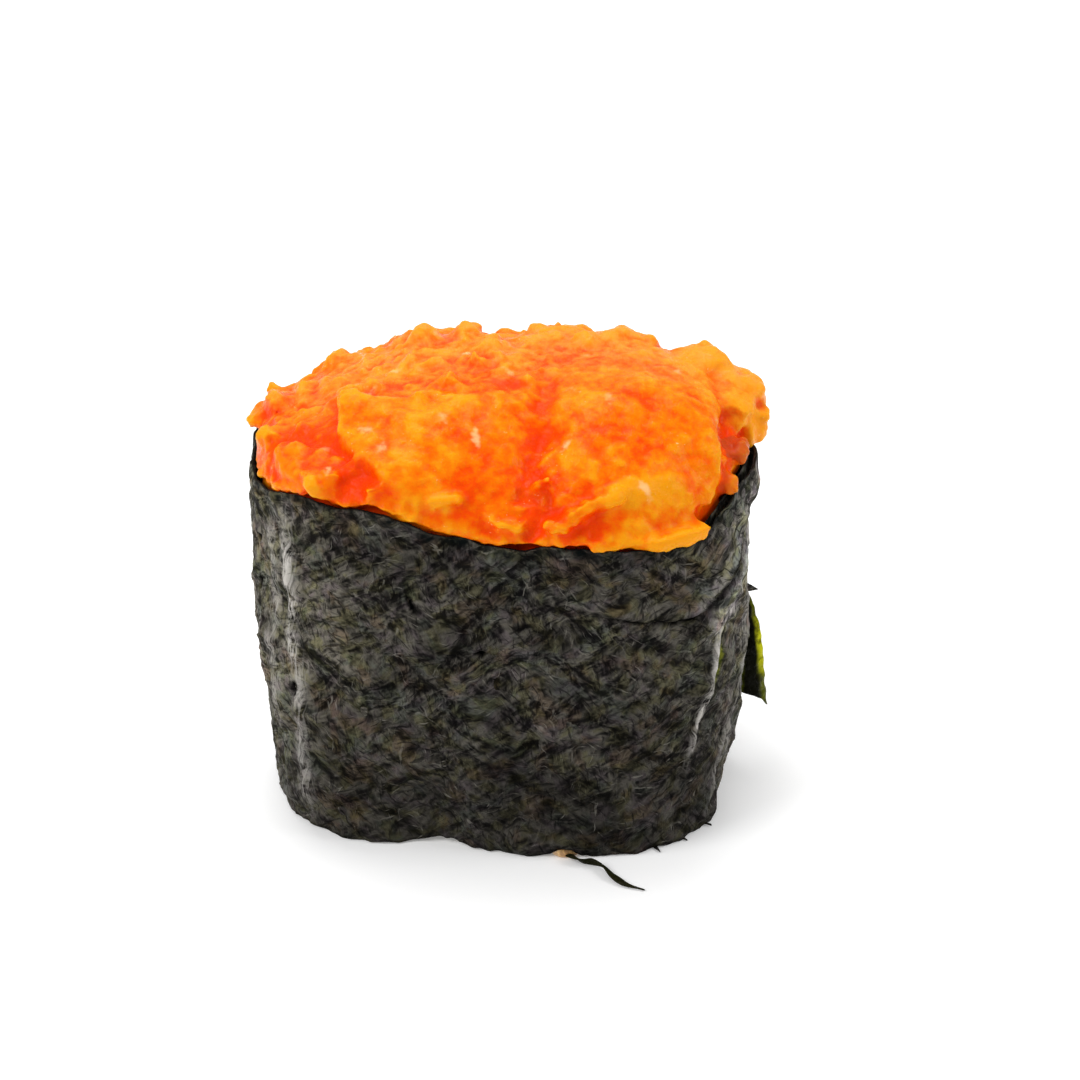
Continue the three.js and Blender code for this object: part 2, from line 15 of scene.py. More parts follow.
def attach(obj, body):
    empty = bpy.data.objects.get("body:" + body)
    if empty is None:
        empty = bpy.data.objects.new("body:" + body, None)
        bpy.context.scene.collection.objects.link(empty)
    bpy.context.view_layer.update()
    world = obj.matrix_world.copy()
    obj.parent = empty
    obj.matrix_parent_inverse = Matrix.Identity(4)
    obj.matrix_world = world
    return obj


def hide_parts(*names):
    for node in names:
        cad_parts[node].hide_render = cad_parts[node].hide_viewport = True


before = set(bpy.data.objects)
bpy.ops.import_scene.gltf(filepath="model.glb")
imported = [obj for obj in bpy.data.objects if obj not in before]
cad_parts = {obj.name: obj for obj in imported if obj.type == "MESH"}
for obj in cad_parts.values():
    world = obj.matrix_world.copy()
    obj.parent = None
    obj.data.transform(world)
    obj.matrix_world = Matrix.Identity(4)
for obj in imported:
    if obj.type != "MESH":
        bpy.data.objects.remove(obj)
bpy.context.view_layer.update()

MM = 0.001

# The band's shape, as in the part's own source.
OVAL_POWER = 2.5
FOOT_HALF_LENGTH = 21.3
FOOT_HALF_DEPTH = 15.0
FLARE = 1.9
FLARE_HEIGHT = 20
RIM_HEIGHT = 36.2
RICE_TOP = 24
MOUND_RISE = 7.3
SHEET = 0.4
GAP = 0.35
LAYER_STEP = 0.65
LAP_START = -34.5
LAP = 45
# How far the rice and the mash keep from the middle of the sheet.
CLEAR = SHEET / 2 + GAP
# Distances from the axis that turn degrees into millimetres: along the walls, and at the corners.
WALL_REACH = 20
CORNER_REACH = 21
# The height above the floor that the loose bits of nori keep.
LOOSE_LIFT = 0.02
# Where one grain of rice shows under the band's foot.
PEEK_DIRECTION = -69.0

# Dents and swellings of the wall: direction, push outwards, spread in degrees, and height they fade by.
WALL_SHAPES = [
    (-116, -2.3, 10, 15),
    (-60, 0.9, 22, None),
    (-139, 0.3, 9, 26),
    (-84, -0.5, 12, None),
    (2, -0.9, 24, None),
    (62, 0.5, 18, None),
    (105, -0.9, 13, 30),
    (178, -0.7, 20, 30),
    (-30, 0.6, 14, 20),
]
# Swellings of the wall part of the way up: direction, push, spread in degrees, height and spread in height.
WALL_SWELLS = [
    (-170, 1.1, 14, 2, 4.5),
    (-12, -0.65, 14, 4, 6),
    (0, -0.9, 12, 31, 2.6),
]
# Where the band's foot is off the floor: direction, height and spread in degrees.
FOOT_LIFTS = [(PEEK_DIRECTION, 1.0, 2.8), (-114, 0.5, 8), (120, 0.4, 10)]
# Waves of the wall: height, how many go round, their climb in radians to a millimetre, and their start.
WALL_WAVES = [(0.13, 5, 0.21, 0), (0.1, 9, -0.33, 1), (0.08, 14, 0.5, 0)]
# Directions round the rim, and its height at each.
RIM_DIRECTIONS = [-180, -162, -144, -127, -108, -88, -60, -36, -15, 4, 40, 88, 132, 180]
RIM_HEIGHTS = [36.0, 35.8, 37.1, 37.4, 35.1, 34.2, 34.1, 33.5, 36.4, 36.0, 36.6, 35.7, 36.5, 36.0]


# ---- Numbers and noise ----
def smooth(low, high, x):
    t = np.clip((x - low) / (high - low), 0, 1)
    return t * t * (3 - 2 * t)


def bell(distance, spread):
    return np.exp(-0.5 * (distance / spread) ** 2)


def turn_between(a, b):
    """The signed angle from b to a, in degrees, from -180 to 180."""
    return (a - b + 180) % 360 - 180


def swells(facing, kinds):
    """The sum of soft swells round the band: direction, height and spread in degrees."""
    return sum(height * bell(turn_between(facing, direction), spread)
               for direction, height, spread in kinds)


def direction_of(x, y):
    return np.degrees(np.arctan2(y, x))


def unit(vectors):
    return vectors / np.linalg.norm(vectors, axis=-1, keepdims=True)


class Noise:
    """Smooth gradient noise, from about -1 to 1, for many points at once."""

    def __init__(self, seed):
        random = np.random.default_rng(seed)
        self.order = random.permutation(256)
        self.slopes = unit(random.normal(size=(256, 3)))

    def at(self, points, size):
        scaled = np.asarray(points) / size
        cell = np.floor(scaled).astype(int)
        inside = scaled - cell
        fade = inside**3 * (inside * (inside * 6 - 15) + 10)
        total = np.zeros(len(scaled))
        for corner in product((0, 1), repeat=3):
            x, y, z = (cell + corner).T
            picked = self.order[(self.order[(self.order[x & 255] + y) & 255] + z) & 255]
            weight = np.prod(np.where(corner, fade, 1 - fade), axis=1)
            total += weight * np.sum(self.slopes[picked] * (inside - corner), axis=1)
        return 1.7 * total

    def fractal(self, points, size, octaves):
        return sum(self.at(points, size / 2**k) / 2**k for k in range(octaves))


# ---- The band's walls ----
def crease_height(facing):
    """Height of the crease below the front of the rim, which climbs to the rim on the right."""
    turn = facing + 37
    return 25 + 0.2 * np.hypot(turn, 3) + 0.1 * turn


def crease_share(facing):
    return smooth(-70, -40, facing) * (1 - smooth(-4, 4, facing))


def crease_bulge(facing, z):
    along = crease_share(facing)
    above = z - crease_height(facing)
    lip = np.exp(-np.clip(above, 0, None) / 4)
    groove = -0.6 * np.exp(np.clip(above, None, 0) / 1.5)
    step = smooth(-0.3, 0.3, above)
    return 0.8 * along * (step * lip + (1 - step) * groove)


def wall_radius(facing, z):
    """Distance from the axis to the middle of the sheet."""
    facing, z = np.broadcast_arrays(np.asarray(facing, float), np.asarray(z, float))
    spread = FLARE * np.sin(np.pi / 2 * np.clip(z, 0, FLARE_HEIGHT) / FLARE_HEIGHT)
    a = np.radians(facing)
    across = (np.abs(np.cos(a)) / (FOOT_HALF_LENGTH + spread)) ** OVAL_POWER
    deep = (np.abs(np.sin(a)) / (FOOT_HALF_DEPTH + 0.5 * spread)) ** OVAL_POWER
    radius = (across + deep) ** (-1 / OVAL_POWER)
    for direction, push, width, fade_to in WALL_SHAPES:
        fade = 1 - smooth(0, fade_to, z) if fade_to else 1
        radius = radius + push * bell(turn_between(facing, direction), width) * fade
    for direction, push, width, height, tall in WALL_SWELLS:
        radius = radius + push * bell(turn_between(facing, direction), width) * bell(z - height, tall)
    for rise, waves, climb, start in WALL_WAVES:
        radius = radius + rise * np.sin(waves * a + climb * z + start)
    return radius + crease_bulge(turn_between(facing, 0), z)


def wall_point(facing, z, offset=0.0):
    """Points of the wall, moved outwards from the sheet's middle by offset. The last axis is x, y, z."""
    facing, z, offset = np.broadcast_arrays(*(np.asarray(v, float) for v in (facing, z, offset)))

    def at(turn):
        a = np.radians(turn)
        return wall_radius(turn, z)[..., None] * np.stack([np.cos(a), np.sin(a)], -1)

    along = unit(at(facing + 0.5) - at(facing - 0.5))
    here = at(facing)
    return np.stack([here[..., 0] + along[..., 1] * offset, here[..., 1] - along[..., 0] * offset, z], -1)


def rim_height(facing):
    turn = turn_between(np.asarray(facing, float), 0)
    upper = np.clip(np.searchsorted(RIM_DIRECTIONS, turn, side="right"), 1, len(RIM_DIRECTIONS) - 1)
    directions, heights = np.array(RIM_DIRECTIONS), np.array(RIM_HEIGHTS)
    share = smooth(directions[upper - 1], directions[upper], turn)
    between = heights[upper - 1] * (1 - share) + heights[upper] * share
    return between + 0.15 * np.sin(np.radians(9 * turn))


# ---- Meshes ----
def new_mesh(name, points, faces):
    """A smooth-shaded mesh object from points in millimetres."""
    mesh = bpy.data.meshes.new(name)
    mesh.from_pydata((np.asarray(points) * MM).tolist(), [], [list(map(int, face)) for face in faces])
    mesh.polygons.foreach_set("use_smooth", [True] * len(mesh.polygons))
    mesh.validate()
    piece = bpy.data.objects.new(name, mesh)
    bpy.context.scene.collection.objects.link(piece)
    return piece


def points_of(piece):
    points = np.empty(3 * len(piece.data.vertices))
    piece.data.vertices.foreach_get("co", points)
    return points.reshape(-1, 3) / MM


def normals_of(piece):
    normals = np.empty(3 * len(piece.data.vertices))
    piece.data.vertices.foreach_get("normal", normals)
    return normals.reshape(-1, 3)


def move_points(piece, points):
    piece.data.vertices.foreach_set("co", (points * MM).ravel())
    piece.data.update()


def add_values(piece, name, values):
    """Stores a number, or three, for each point, for the material to read."""
    values = np.asarray(values, float)
    kind = "FLOAT" if values.ndim == 1 else "FLOAT_VECTOR"
    layer = piece.data.attributes.new(name, kind, "POINT")
    layer.data.foreach_set("value" if values.ndim == 1 else "vector", values.ravel())


def apply_modifiers(piece):
    evaluated = piece.evaluated_get(bpy.context.evaluated_depsgraph_get())
    mesh = bpy.data.meshes.new_from_object(evaluated)
    old = piece.data
    piece.modifiers.clear()
    piece.data = mesh
    bpy.data.meshes.remove(old)
    mesh.name = piece.name
    mesh.polygons.foreach_set("use_smooth", [True] * len(mesh.polygons))


def voxel_union(piece, voxel):
    """Turns overlapping closed shells into one surface."""
    remesh = piece.modifiers.new("union", "REMESH")
    remesh.mode = "VOXEL"
    remesh.voxel_size = voxel * MM
    remesh.adaptivity = 0
    remesh.use_smooth_shade = True
    apply_modifiers(piece)


def blurred(piece, values, steps):
    """The values of the points, each averaged with its neighbours, again and again."""
    edges = np.empty(2 * len(piece.data.edges), int)
    piece.data.edges.foreach_get("vertices", edges)
    a, b = edges.reshape(-1, 2).T
    result = np.array(values, float)
    columns = result.reshape(len(result), -1)
    size = len(columns)
    count = np.bincount(np.concatenate([a, b]), minlength=size)[:, None].clip(1)
    for _ in range(steps):
        total = np.stack([np.bincount(a, column[b], size) + np.bincount(b, column[a], size)
                          for column in columns.T], -1)
        columns = 0.5 * columns + 0.5 * total / count
    return columns.reshape(result.shape)


def thicken(piece, thickness):
    solid = piece.modifiers.new("thickness", "SOLIDIFY")
    solid.thickness = thickness * MM
    solid.offset = 0
    apply_modifiers(piece)


def ball(detail):
    """Points and triangles of a unit ball."""
    shape = bmesh.new()
    bmesh.ops.create_icosphere(shape, subdivisions=detail, radius=1)
    points = np.array([v.co for v in shape.verts])
    faces = np.array([[v.index for v in f.verts] for f in shape.faces])
    shape.free()
    return points, faces


def turned(points, heading=0, tilt=0, roll=0):
    matrix = Euler(np.radians([roll, tilt, heading]), "XYZ").to_matrix()
    return points @ np.array(matrix).T


def joined(shells):
    """Many (points, faces) shells as one."""
    points, faces, start = [], [], 0
    for shell_points, shell_faces in shells:
        points.append(shell_points)
        faces.append(shell_faces + start)
        start += len(shell_points)
    return np.concatenate(points), np.concatenate(faces)


def grid_faces(columns, rows, start=0, flip=False):
    """Quads between neighbouring points of a grid that is stored column by column."""
    i, j = np.meshgrid(np.arange(columns - 1), np.arange(rows - 1), indexing="ij")
    a = start + i * rows + j
    quads = np.stack([a, a + rows, a + rows + 1, a + 1], -1).reshape(-1, 4)
    return quads[:, ::-1] if flip else quads


def stacked(levels, top, bottom):
    """A closed shell of rings of points, from the highest down, with a middle point at each end."""
    sides = len(levels[0])
    points = np.concatenate([*levels, [top, bottom]])
    highest, lowest = len(points) - 2, len(points) - 1
    last = (len(levels) - 1) * sides
    faces = []
    for i in range(sides):
        after = (i + 1) % sides
        faces.append((highest, i, after))
        for a in range(0, last, sides):
            b = a + sides
            faces += [(a + i, b + i, b + after), (a + i, b + after, a + after)]
        faces.append((last + i, lowest, last + after))
    return points, np.array(faces)


def tree_of(places):
    """A search tree that finds the nearest places."""
    tree = KDTree(len(places))
    for i, place in enumerate(places):
        tree.insert(place, i)
    tree.balance()
    return tree


# ---- Nori band ----
NORI_COLUMNS = 561
NORI_ROWS = 126
NORI_INNER_ROWS = 9
# The dressed sheet is thinner than the solid one, which leaves room for its crumples.
NORI_THICKNESS = 0.28
# Small openings and pits in the sheet, painted dark inside as shade: direction, height, half width and half
# length in mm, lean, and how green they are inside.
SLITS = [
    (-166, 18.6, 0.3, 1.4, 0.15, 0),
    (-166, 29.2, 0.4, 0.5, 0.3, 0),
    (-166.3, 24.4, 0.25, 0.6, -0.2, 0),
    (-151, 16.0, 0.3, 0.7, 0.1, 0),
    (-118.2, 27.6, 0.32, 1.0, -0.45, 0),
    (-28.1, 21.4, 0.26, 1.1, 0.3, 0),
    (-29.4, 19.0, 0.45, 1.7, 0.3, 0.9),
    (-25.8, 16.8, 0.8, 0.17, 0.0, 0),
    (-97, 23.0, 0.6, 0.25, 0.2, 0),
    (-22, 9.5, 0.22, 0.9, -0.2, 0),
    (60, 21.0, 0.3, 1.1, 0.2, 0.3),
    (118, 12.0, 0.25, 0.9, -0.3, 0),
    (150, 24.0, 0.3, 0.8, 0.2, 0),
    (28, 27.0, 0.25, 1.0, 0.1, 0),
]
# Upright ridges where the sheet turns the corners, with a painted highlight on them: direction, lowest and
# highest point, lean in degrees to a millimetre, height, half width, and how strong the highlight is.
CORNER_RIDGES = [
    (-151, 14, 34, 0.0, 0.42, 0.45, 1.0),
    (-150, 3, 15, 0.0, 0.3, 0.5, 0.5),
    (-158, 12, 33, 0.1, 0.2, 0.5, 0.5),
    (-32.4, 10.5, 22.5, 0.5, 0.4, 0.2, 1.3),
    (-22, 3, 13, 0.9, 0.3, 0.3, 0.45),
    (-16, 5, 24, 0.3, 0.2, 0.4, 0.5),
    (31, 4, 33, 0.0, 0.26, 0.5, 0.6),
    (148, 5, 32, 0.0, 0.3, 0.5, 0.7),
]
# Crossing wrinkles of the sheet: lean, size and height.
WRINKLES = [(0.6, 2.6, 0.15), (-0.8, 3.2, 0.14), (0.1, 1.9, 0.1)]
# Where the corners of the sheet are painted lighter, as light falling on them: direction, how much, and
# spread in degrees.
LIT_CORNERS = [(-160, 0.66, 17), (-20, 0.25, 12), (28, 0.6, 16), (152, 0.7, 18), (2, 0.4, 12)]
# What the material reads at each point, after the sheet's own places and its height.
NORI_LOOKS = ("corner_light", "rim_shadow", "ridge_light", "pit_shade", "moss", "sheen")
folds = Noise(21)
wrinkles = Noise(22)
torn_edge = Noise(23)


def flat(x, y):
    """Places in the plane of the sheet, for the noise."""
    return np.stack([x + 0 * y, y, 0 * y], -1)


def crumples(length, z):
    """Height of the sheet's folds and wrinkles."""
    sheet = flat(length, z)
    swirl = flat(folds.at(sheet + 300, 6), folds.at(sheet + 600, 6))
    warped = sheet + 1.6 * swirl
    height = 0.34 * folds.at(sheet, 8) + 0.34 * folds.at(warped, 4.2) + 0.2 * folds.at(warped + 80, 2.6)
    diagonal = flat(length + 0.9 * z, 0.25 * (z - 0.9 * length)) + 0.5 * swirl
    height += 0.24 * (1 - np.abs(folds.at(diagonal + 150, 4.5))) ** 3
    for lean, size, rise in WRINKLES:
        strokes = flat(warped[:, 0] - lean * z, 0.45 * (z + lean * warped[:, 0]))
        ridge = 1 - np.abs(wrinkles.at(strokes + 90 * lean, size))
        height += rise * (ridge**4 - 0.3)
    return height + 0.09 * wrinkles.at(warped, 1.4) + 0.045 * wrinkles.at(warped + 40, 0.8)


def corner_ridges(facing, z):
    """Height of the ridges at the corners, and how strong the painted highlight on them is."""
    height, ridge_light = np.zeros(len(z)), np.zeros(len(z))
    for direction, low, high, lean, rise, width, light_strength in CORNER_RIDGES:
        upright = flat(direction, z)
        wander = 1.4 * wrinkles.at(upright, 9) + 1.6 * wrinkles.at(upright + 30, 3.4)
        middle = direction + lean * (z - 0.5 * (low + high)) + wander
        away = np.radians(turn_between(facing, middle)) * CORNER_REACH
        ends = smooth(low - 3, low + 3, z) * (1 - smooth(high - 3, high + 3, z))
        ends = ends * (0.6 + 0.4 * smooth(-0.4, 0.2, wrinkles.at(upright + 60, 4)))
        height += rise * ends * bell(away, width)
        ridge_light = np.maximum(ridge_light, light_strength * ends * bell(away, width))
    return height, ridge_light


def slits(facing, z):
    """How open the sheet is at its slits, where shade is painted, and how green it is there."""
    pit_shade, moss = np.zeros(len(z)), np.zeros(len(z))
    for direction, middle, wide, tall, lean, green in SLITS:
        up = (z - middle) / tall
        away = np.radians(turn_between(facing, direction)) * WALL_REACH - lean * (z - middle)
        opening = np.exp(-((away / wide) ** 2 + up**2) ** 2)
        pit_shade = np.maximum(pit_shade, opening * (1 - green))
        moss = np.maximum(moss, opening * green)
    return pit_shade, moss


def nori_relief(facing, z, length):
    """The sheet's height, the painted highlight on its ridges, the painted shade in its slits and crease,
    how green it is, and its painted sheen.
    """
    ridges, ridge_light = corner_ridges(facing, z)
    pit_shade, moss = slits(facing, z)
    turn = turn_between(facing, 0)
    above = z - crease_height(turn) + 0.2 * wrinkles.at(flat(length, z) + 70, 2)
    along, right = crease_share(turn), smooth(-44, -28, turn)
    # The crease: painted shade in its groove and in a band below it, and painted sheen on its lip and lower
    # down.
    groove = along * bell(above + 0.2 + 0.35 * right, 0.22 + 0.4 * right)
    shaded = along * right * bell(above + 1.4, 0.8)
    lip = along * right * smooth(-0.2, 0.2, above) * np.exp(-np.clip(above, 0, None) / 1.8)
    below = along * smooth(-37, -26, turn) * bell(above + 3.5, 1.5)
    height = crumples(length, z) + ridges
    height += 0.1 * lip - 0.25 * groove + 0.3 * below - 0.45 * (pit_shade + 0.6 * moss)
    height = np.where(height < -0.25, -0.25 + 0.4 * (height + 0.25), height)
    pit_shade = np.clip(1.6 * np.maximum(pit_shade, np.maximum(groove, 0.5 * shaded)), 0, 1)
    sheen = np.maximum(0.9 * lip, below) * (1 - pit_shade)
    return height, ridge_light, pit_shade, np.clip(1.6 * moss, 0, 1), sheen


def strip_faces():
    """Faces of the strip: its outer side, its inner side, and the edges between them."""
    start = NORI_COLUMNS * NORI_ROWS
    outer = np.arange(start).reshape(NORI_COLUMNS, NORI_ROWS)
    inner = start + np.arange(NORI_COLUMNS * NORI_INNER_ROWS).reshape(NORI_COLUMNS, NORI_INNER_ROWS)
    faces = [*grid_faces(NORI_COLUMNS, NORI_ROWS)]
    faces += [*grid_faces(NORI_COLUMNS, NORI_INNER_ROWS, start, flip=True)]
    for i in range(NORI_COLUMNS - 1):
        faces.append((outer[i, -1], outer[i + 1, -1], inner[i + 1, -1], inner[i, -1]))
        faces.append((outer[i + 1, 0], outer[i, 0], inner[i, 0], inner[i + 1, 0]))
    faces.append((*outer[0], *inner[0][::-1]))
    faces.append((*outer[-1][::-1], *inner[-1]))
    return faces


def make_nori():
    turn = LAP_START + np.linspace(0, 360 + LAP, NORI_COLUMNS)
    steps = np.linalg.norm(np.diff(wall_point(turn, 18.0), axis=0), axis=1)
    length = np.concatenate([[0], np.cumsum(steps)])
    along = np.stack([length, 0 * length, 0 * length], -1)
    ragged = 0.18 * torn_edge.at(along, 2.4) + 0.1 * torn_edge.at(along + 50, 0.9)
    top = rim_height(turn) + ragged - 0.1
    foot = swells(turn, FOOT_LIFTS) + np.clip(0.12 + 0.2 * torn_edge.at(along + 90, 1.4), 0, None)
    lifted = LAYER_STEP * smooth(360 - 35, 360 - 7.5, turn - LAP_START)
    covered = 1 - smooth(LAP - 6, LAP, turn - LAP_START)[:, None]
    grids, values = [], []
    for rows, side, places_from in ((NORI_ROWS, 1, 0), (NORI_INNER_ROWS, -1, 200)):
        share = np.linspace(0, 1, rows)
        z = foot[:, None] * (1 - share) + top[:, None] * share
        facing, arc = np.repeat(turn[:, None], rows, 1), np.repeat(length[:, None], rows, 1)
        height, *looks = nori_relief(facing.ravel(), z.ravel(), arc.ravel())
        height = height.reshape(z.shape) * (1 - covered) - 0.2 * covered
        if side < 0:
            height, looks = 0.5 * height, [0 * look for look in looks]
        rounded = 0.08 * (1 - smooth(0, 0.012, share) * (1 - smooth(0.988, 1, share)))
        offset = lifted[:, None] + side * (NORI_THICKNESS / 2 - rounded) + height
        grids.append(wall_point(facing, z, offset).reshape(-1, 3))
        # A painted shadow in a band just under the rim, where the topping overhangs it.
        rim_shadow = smooth(1.2, 0.15, top[:, None] - z + 0.3 * np.sin(1.7 * arc))
        sheet = flat(arc.ravel() + places_from, z.ravel())
        # Painted light on the corners, a little stronger higher up.
        corner_light = np.clip(swells(facing, LIT_CORNERS) * (0.7 + 0.3 * smooth(0, 18, z)), 0, 1)
        values.append(np.column_stack([sheet, height.ravel(), corner_light.ravel(), rim_shadow.ravel(), *looks]))
    piece = new_mesh("nori_band", np.concatenate(grids), strip_faces())
    values = np.concatenate(values)
    sheet, height, looks = values[:, :3], values[:, 3], values[:, 4:]
    add_values(piece, "sheet", sheet)
    # Painted light and shade: lighter on crests and on facets that face up, darker in hollows and on facets
    # that face down.
    add_values(piece, "crest", (height - blurred(piece, height, 12)) / 0.06)
    tilt = normals_of(piece)[:, 2]
    add_values(piece, "upward", (tilt - blurred(piece, tilt, 120)) / 0.16)
    for name, look in zip(NORI_LOOKS, looks.T):
        add_values(piece, name, look)
    return piece


# ---- Salmon mound ----
# Swells and hollows of the mound, seen from above: place, height, and half sizes across and deep.
MOUND_SHAPES = [
    (12, -6, 1.3, 6, 7),
    (3.4, -11, -2.3, 1.7, 5),
    (-8, -7, 0.8, 6, 4),
    (-14.5, -11, -2.0, 4, 3.2),
    (21.8, -5, -2.6, 1.4, 5),
    (20, 4.5, 0.8, 3.5, 4.5),
    (-17, 7, -1.5, 5, 7),
    (-20.5, 5, -1.3, 3, 5),
    (8, 8, 0.3, 6, 5),
]
# How far the mound's edge lies outside the inner side of the band, to rest on its rim, and where it reaches
# further out or less far: direction, reach and spread in degrees.
RIM_COVER = 0.75
OVERHANGS = [
    (-62, 0.35, 22), (-31, -0.8, 4), (-14, -1.0, 10), (10, 0.6, 16), (80, 0.3, 25), (-172, -0.1, 12),
]


def mound_height(x, y):
    facing = direction_of(x, y)
    reach = np.minimum(1, np.hypot(x, y) / wall_radius(facing, RIM_HEIGHT - 1))
    rim = (RIM_HEIGHT - 0.5) * (1 - reach**3) + rim_height(facing) * reach**3 + GAP + 0.2
    z = rim + MOUND_RISE * np.sqrt(np.clip(1 - reach**2.2, 0, None))
    for sx, sy, push, wide, deep in MOUND_SHAPES:
        z = z + push * (1 - reach**8) * bell(np.hypot((x - sx) / wide, (y - sy) / deep), 1)
    return z


def mound_point(facing, share):
    """Points of the mound's top, from its middle, at share 0, to its edge, at share 1."""
    cover = RIM_COVER + swells(facing, OVERHANGS)
    edge = wall_point(facing, rim_height(facing) - 2, cover - CLEAR - 0.1)
    x, y = edge[..., 0] * share, edge[..., 1] * share
    return np.stack([x, y, mound_height(x, y)], -1)


def mound_body():
    """The mound under its lumps, with the plug that fills the band down to the rice."""
    sides, rings = 128, 40
    facing = np.linspace(0, 360, sides, endpoint=False)
    levels = [mound_point(facing, np.sin(np.pi / 2 * (k + 1) / rings)) for k in range(rings)]
    bottom = RICE_TOP + GAP
    for z in (rim_height(facing) - 0.6, 30.0, bottom):
        levels.append(wall_point(facing, z, -CLEAR - 0.1))
    return stacked(levels, [0, 0, mound_height(0.0, 0.0)], [0, 0, bottom])


# Flakes of fish that lie on the mound: their corners from above, each with its height above the mound, and
# their shade, from -1 (deep red) through 0 (orange) to 1 (yellow). The first few are the large ones.
LARGE_FLAKES = 4
FLAKES = [
    ([(-14.0, -3.2, 2.1), (-15.2, -6.2, 2.1), (-15.2, -8.8, 1.9), (-13.8, -10.7, 1.7),
      (-12.2, -12.6, 1.5), (-11.0, -14.2, 1.1), (-9.6, -15.2, 0.7), (-4.8, -16.0, 0.2),
      (0.8, -15.2, -0.2), (3.0, -9.0, -0.4), (2.4, -5.4, -0.6), (-2.9, -4.6, -0.3),
      (-6.5, -5.6, 0.1), (-9.3, -5.0, 0.5), (-12.2, -5.0, 1.2)], 0.45),
    ([(5.0, -3.0, -0.3), (4.6, -9.0, -0.1), (6.0, -14.4, 0.1), (11.8, -14.4, 0.2),
      (16.6, -12.3, 0.6), (19.2, -10.9, 1.0), (20.1, -9.0, 1.3), (19.9, -6.0, 1.4),
      (20.3, -1.0, 1.4), (19.4, 1.6, 1.3), (18.7, 5.0, 1.0), (17.4, 7.6, 0.8),
      (12.9, 6.6, 0.4), (7.0, 3.0, 0.1)], 0.05),
    ([(9.0, -16.6, 0.1), (10.2, -13.8, 0.2), (13.0, -12.7, 0.4), (16.6, -11.6, 0.8),
      (18.4, -12.2, 0.9), (19.4, -13.3, 0.9), (17.2, -15.0, 0.9), (13.4, -16.4, 0.6)], 1.3),
    ([(18.9, 2.4, 0.8), (20.4, -0.6, 1.7), (23.0, -1.4, 2.2), (24.9, 1.2, 2.5),
      (24.8, 4.8, 2.2), (22.4, 6.8, 1.4), (19.2, 6.6, 0.6)], 0.45),
    ([(-21.0, -5.6, 0.5), (-21.4, -9.6, 0.7), (-18.2, -12.8, 0.7), (-14.6, -13.4, 0.4),
      (-14.0, -10.4, 0.3), (-17.4, -7.6, 0.4)], 0.1),
    ([(-19.6, 1.0, 0.5), (-18.2, 6.4, 0.4), (-14.4, 9.0, 0.4), (-12.4, 4.6, 0.3),
      (-15.6, 1.0, 0.4)], 0.0),
    ([(3.0, 5.0, 0.3), (2.0, 10.4, 0.5), (7.0, 12.6, 0.5), (11.0, 10.0, 0.3), (10.0, 5.6, 0.3)], 0.3),
    ([(-9.6, 2.6, 0.3), (-10.2, 8.6, 0.5), (-4.4, 11.4, 0.5), (-1.4, 8.6, 0.4), (-3.2, 3.6, 0.3)], 0.25),
]
# Lumps: place from above, lift, half sizes, turn and shade.
LUMPS = [
    ((-5.6, -15.3), 1.0, (1.3, 0.8, 0.65), (8, 0, 0), 1.6),
    ((-4.1, -15.2), 1.3, (0.8, 0.7, 0.5), (-15, 0, 0), 1.1),
    ((-15.4, -13.0), 0.9, (1.2, 0.8, 0.7), (-20, 0, 0), 0.9),
    ((-13.9, -5.0), 1.3, (1.4, 2.0, 0.9), (20, -10, 8), 0.8),
    ((10.6, 7.9), -1.0, (4.0, 3.0, 2.0), (0, 0, 0), 0.1),
    ((5.4, 8.8), -0.9, (3.0, 2.5, 1.7), (30, 0, 0), 0.4),
    ((-3.4, 9.6), 0.2, (1.7, 1.6, 1.5), (0, 0, 0), 0.3),
    ((-7.4, 9.0), 0.4, (1.7, 1.6, 1.5), (50, 0, 0), 0.5),
    ((21.6, 3.8), 1.5, (3.0, 3.2, 1.9), (35, 6, 0), 0.3),
    ((21.2, 0.2), 1.1, (2.6, 2.2, 1.7), (-20, 10, 0), 0.6),
    ((18.2, 5.6), 0.1, (3.0, 2.6, 1.9), (10, 0, 0), 0.1),
    ((21.9, -5.0), 0.2, (1.2, 1.6, 1.1), (0, 0, 20), -1.0),
    ((20.9, -8.2), 0.0, (0.9, 1.4, 1.1), (20, 0, 20), -0.9),
    ((-21.4, 3.2), 0.3, (1.2, 2.0, 1.4), (10, 0, 0), -0.8),
    ((-21.4, -3.6), 0.1, (1.4, 1.5, 1.2), (10, 0, 0), 0.9),
]
# The edge of a flake, from its middle underneath to its middle on top: share of its reach, and height, of
# which 1 is its own height above the mound.
FLAKE_PROFILE = [
    (0.0, -1.0), (0.8, -1.0), (0.93, -0.5), (0.99, 0.2), (1.0, 0.55), (0.975, 0.85),
    (0.92, 0.98), (0.82, 1.03), (0.6, 1.05), (0.3, 1.05), (0.0, 1.05),
]
FLAKE_SIDES = 96
# Lumps strewn over the mound in a sunflower's pattern, and lumps round its edge, about EDGE_REACH away.
MASH_COUNT = 190
GOLDEN_ANGLE = 137.508
EDGE_COUNT = 90
EDGE_REACH = 22
# Where the mash leaves the inner side of the band bare, above the tongue: direction and half width.
BARE_EDGE = (-31, 7)
# How far a lump's shade reaches, in its own mean half size.
SHADE_REACH = 1.6
MASH_VOXEL = 0.27
# The share of the faces that is kept where the mash is hidden inside the band.
HIDDEN_SHARE = 0.75
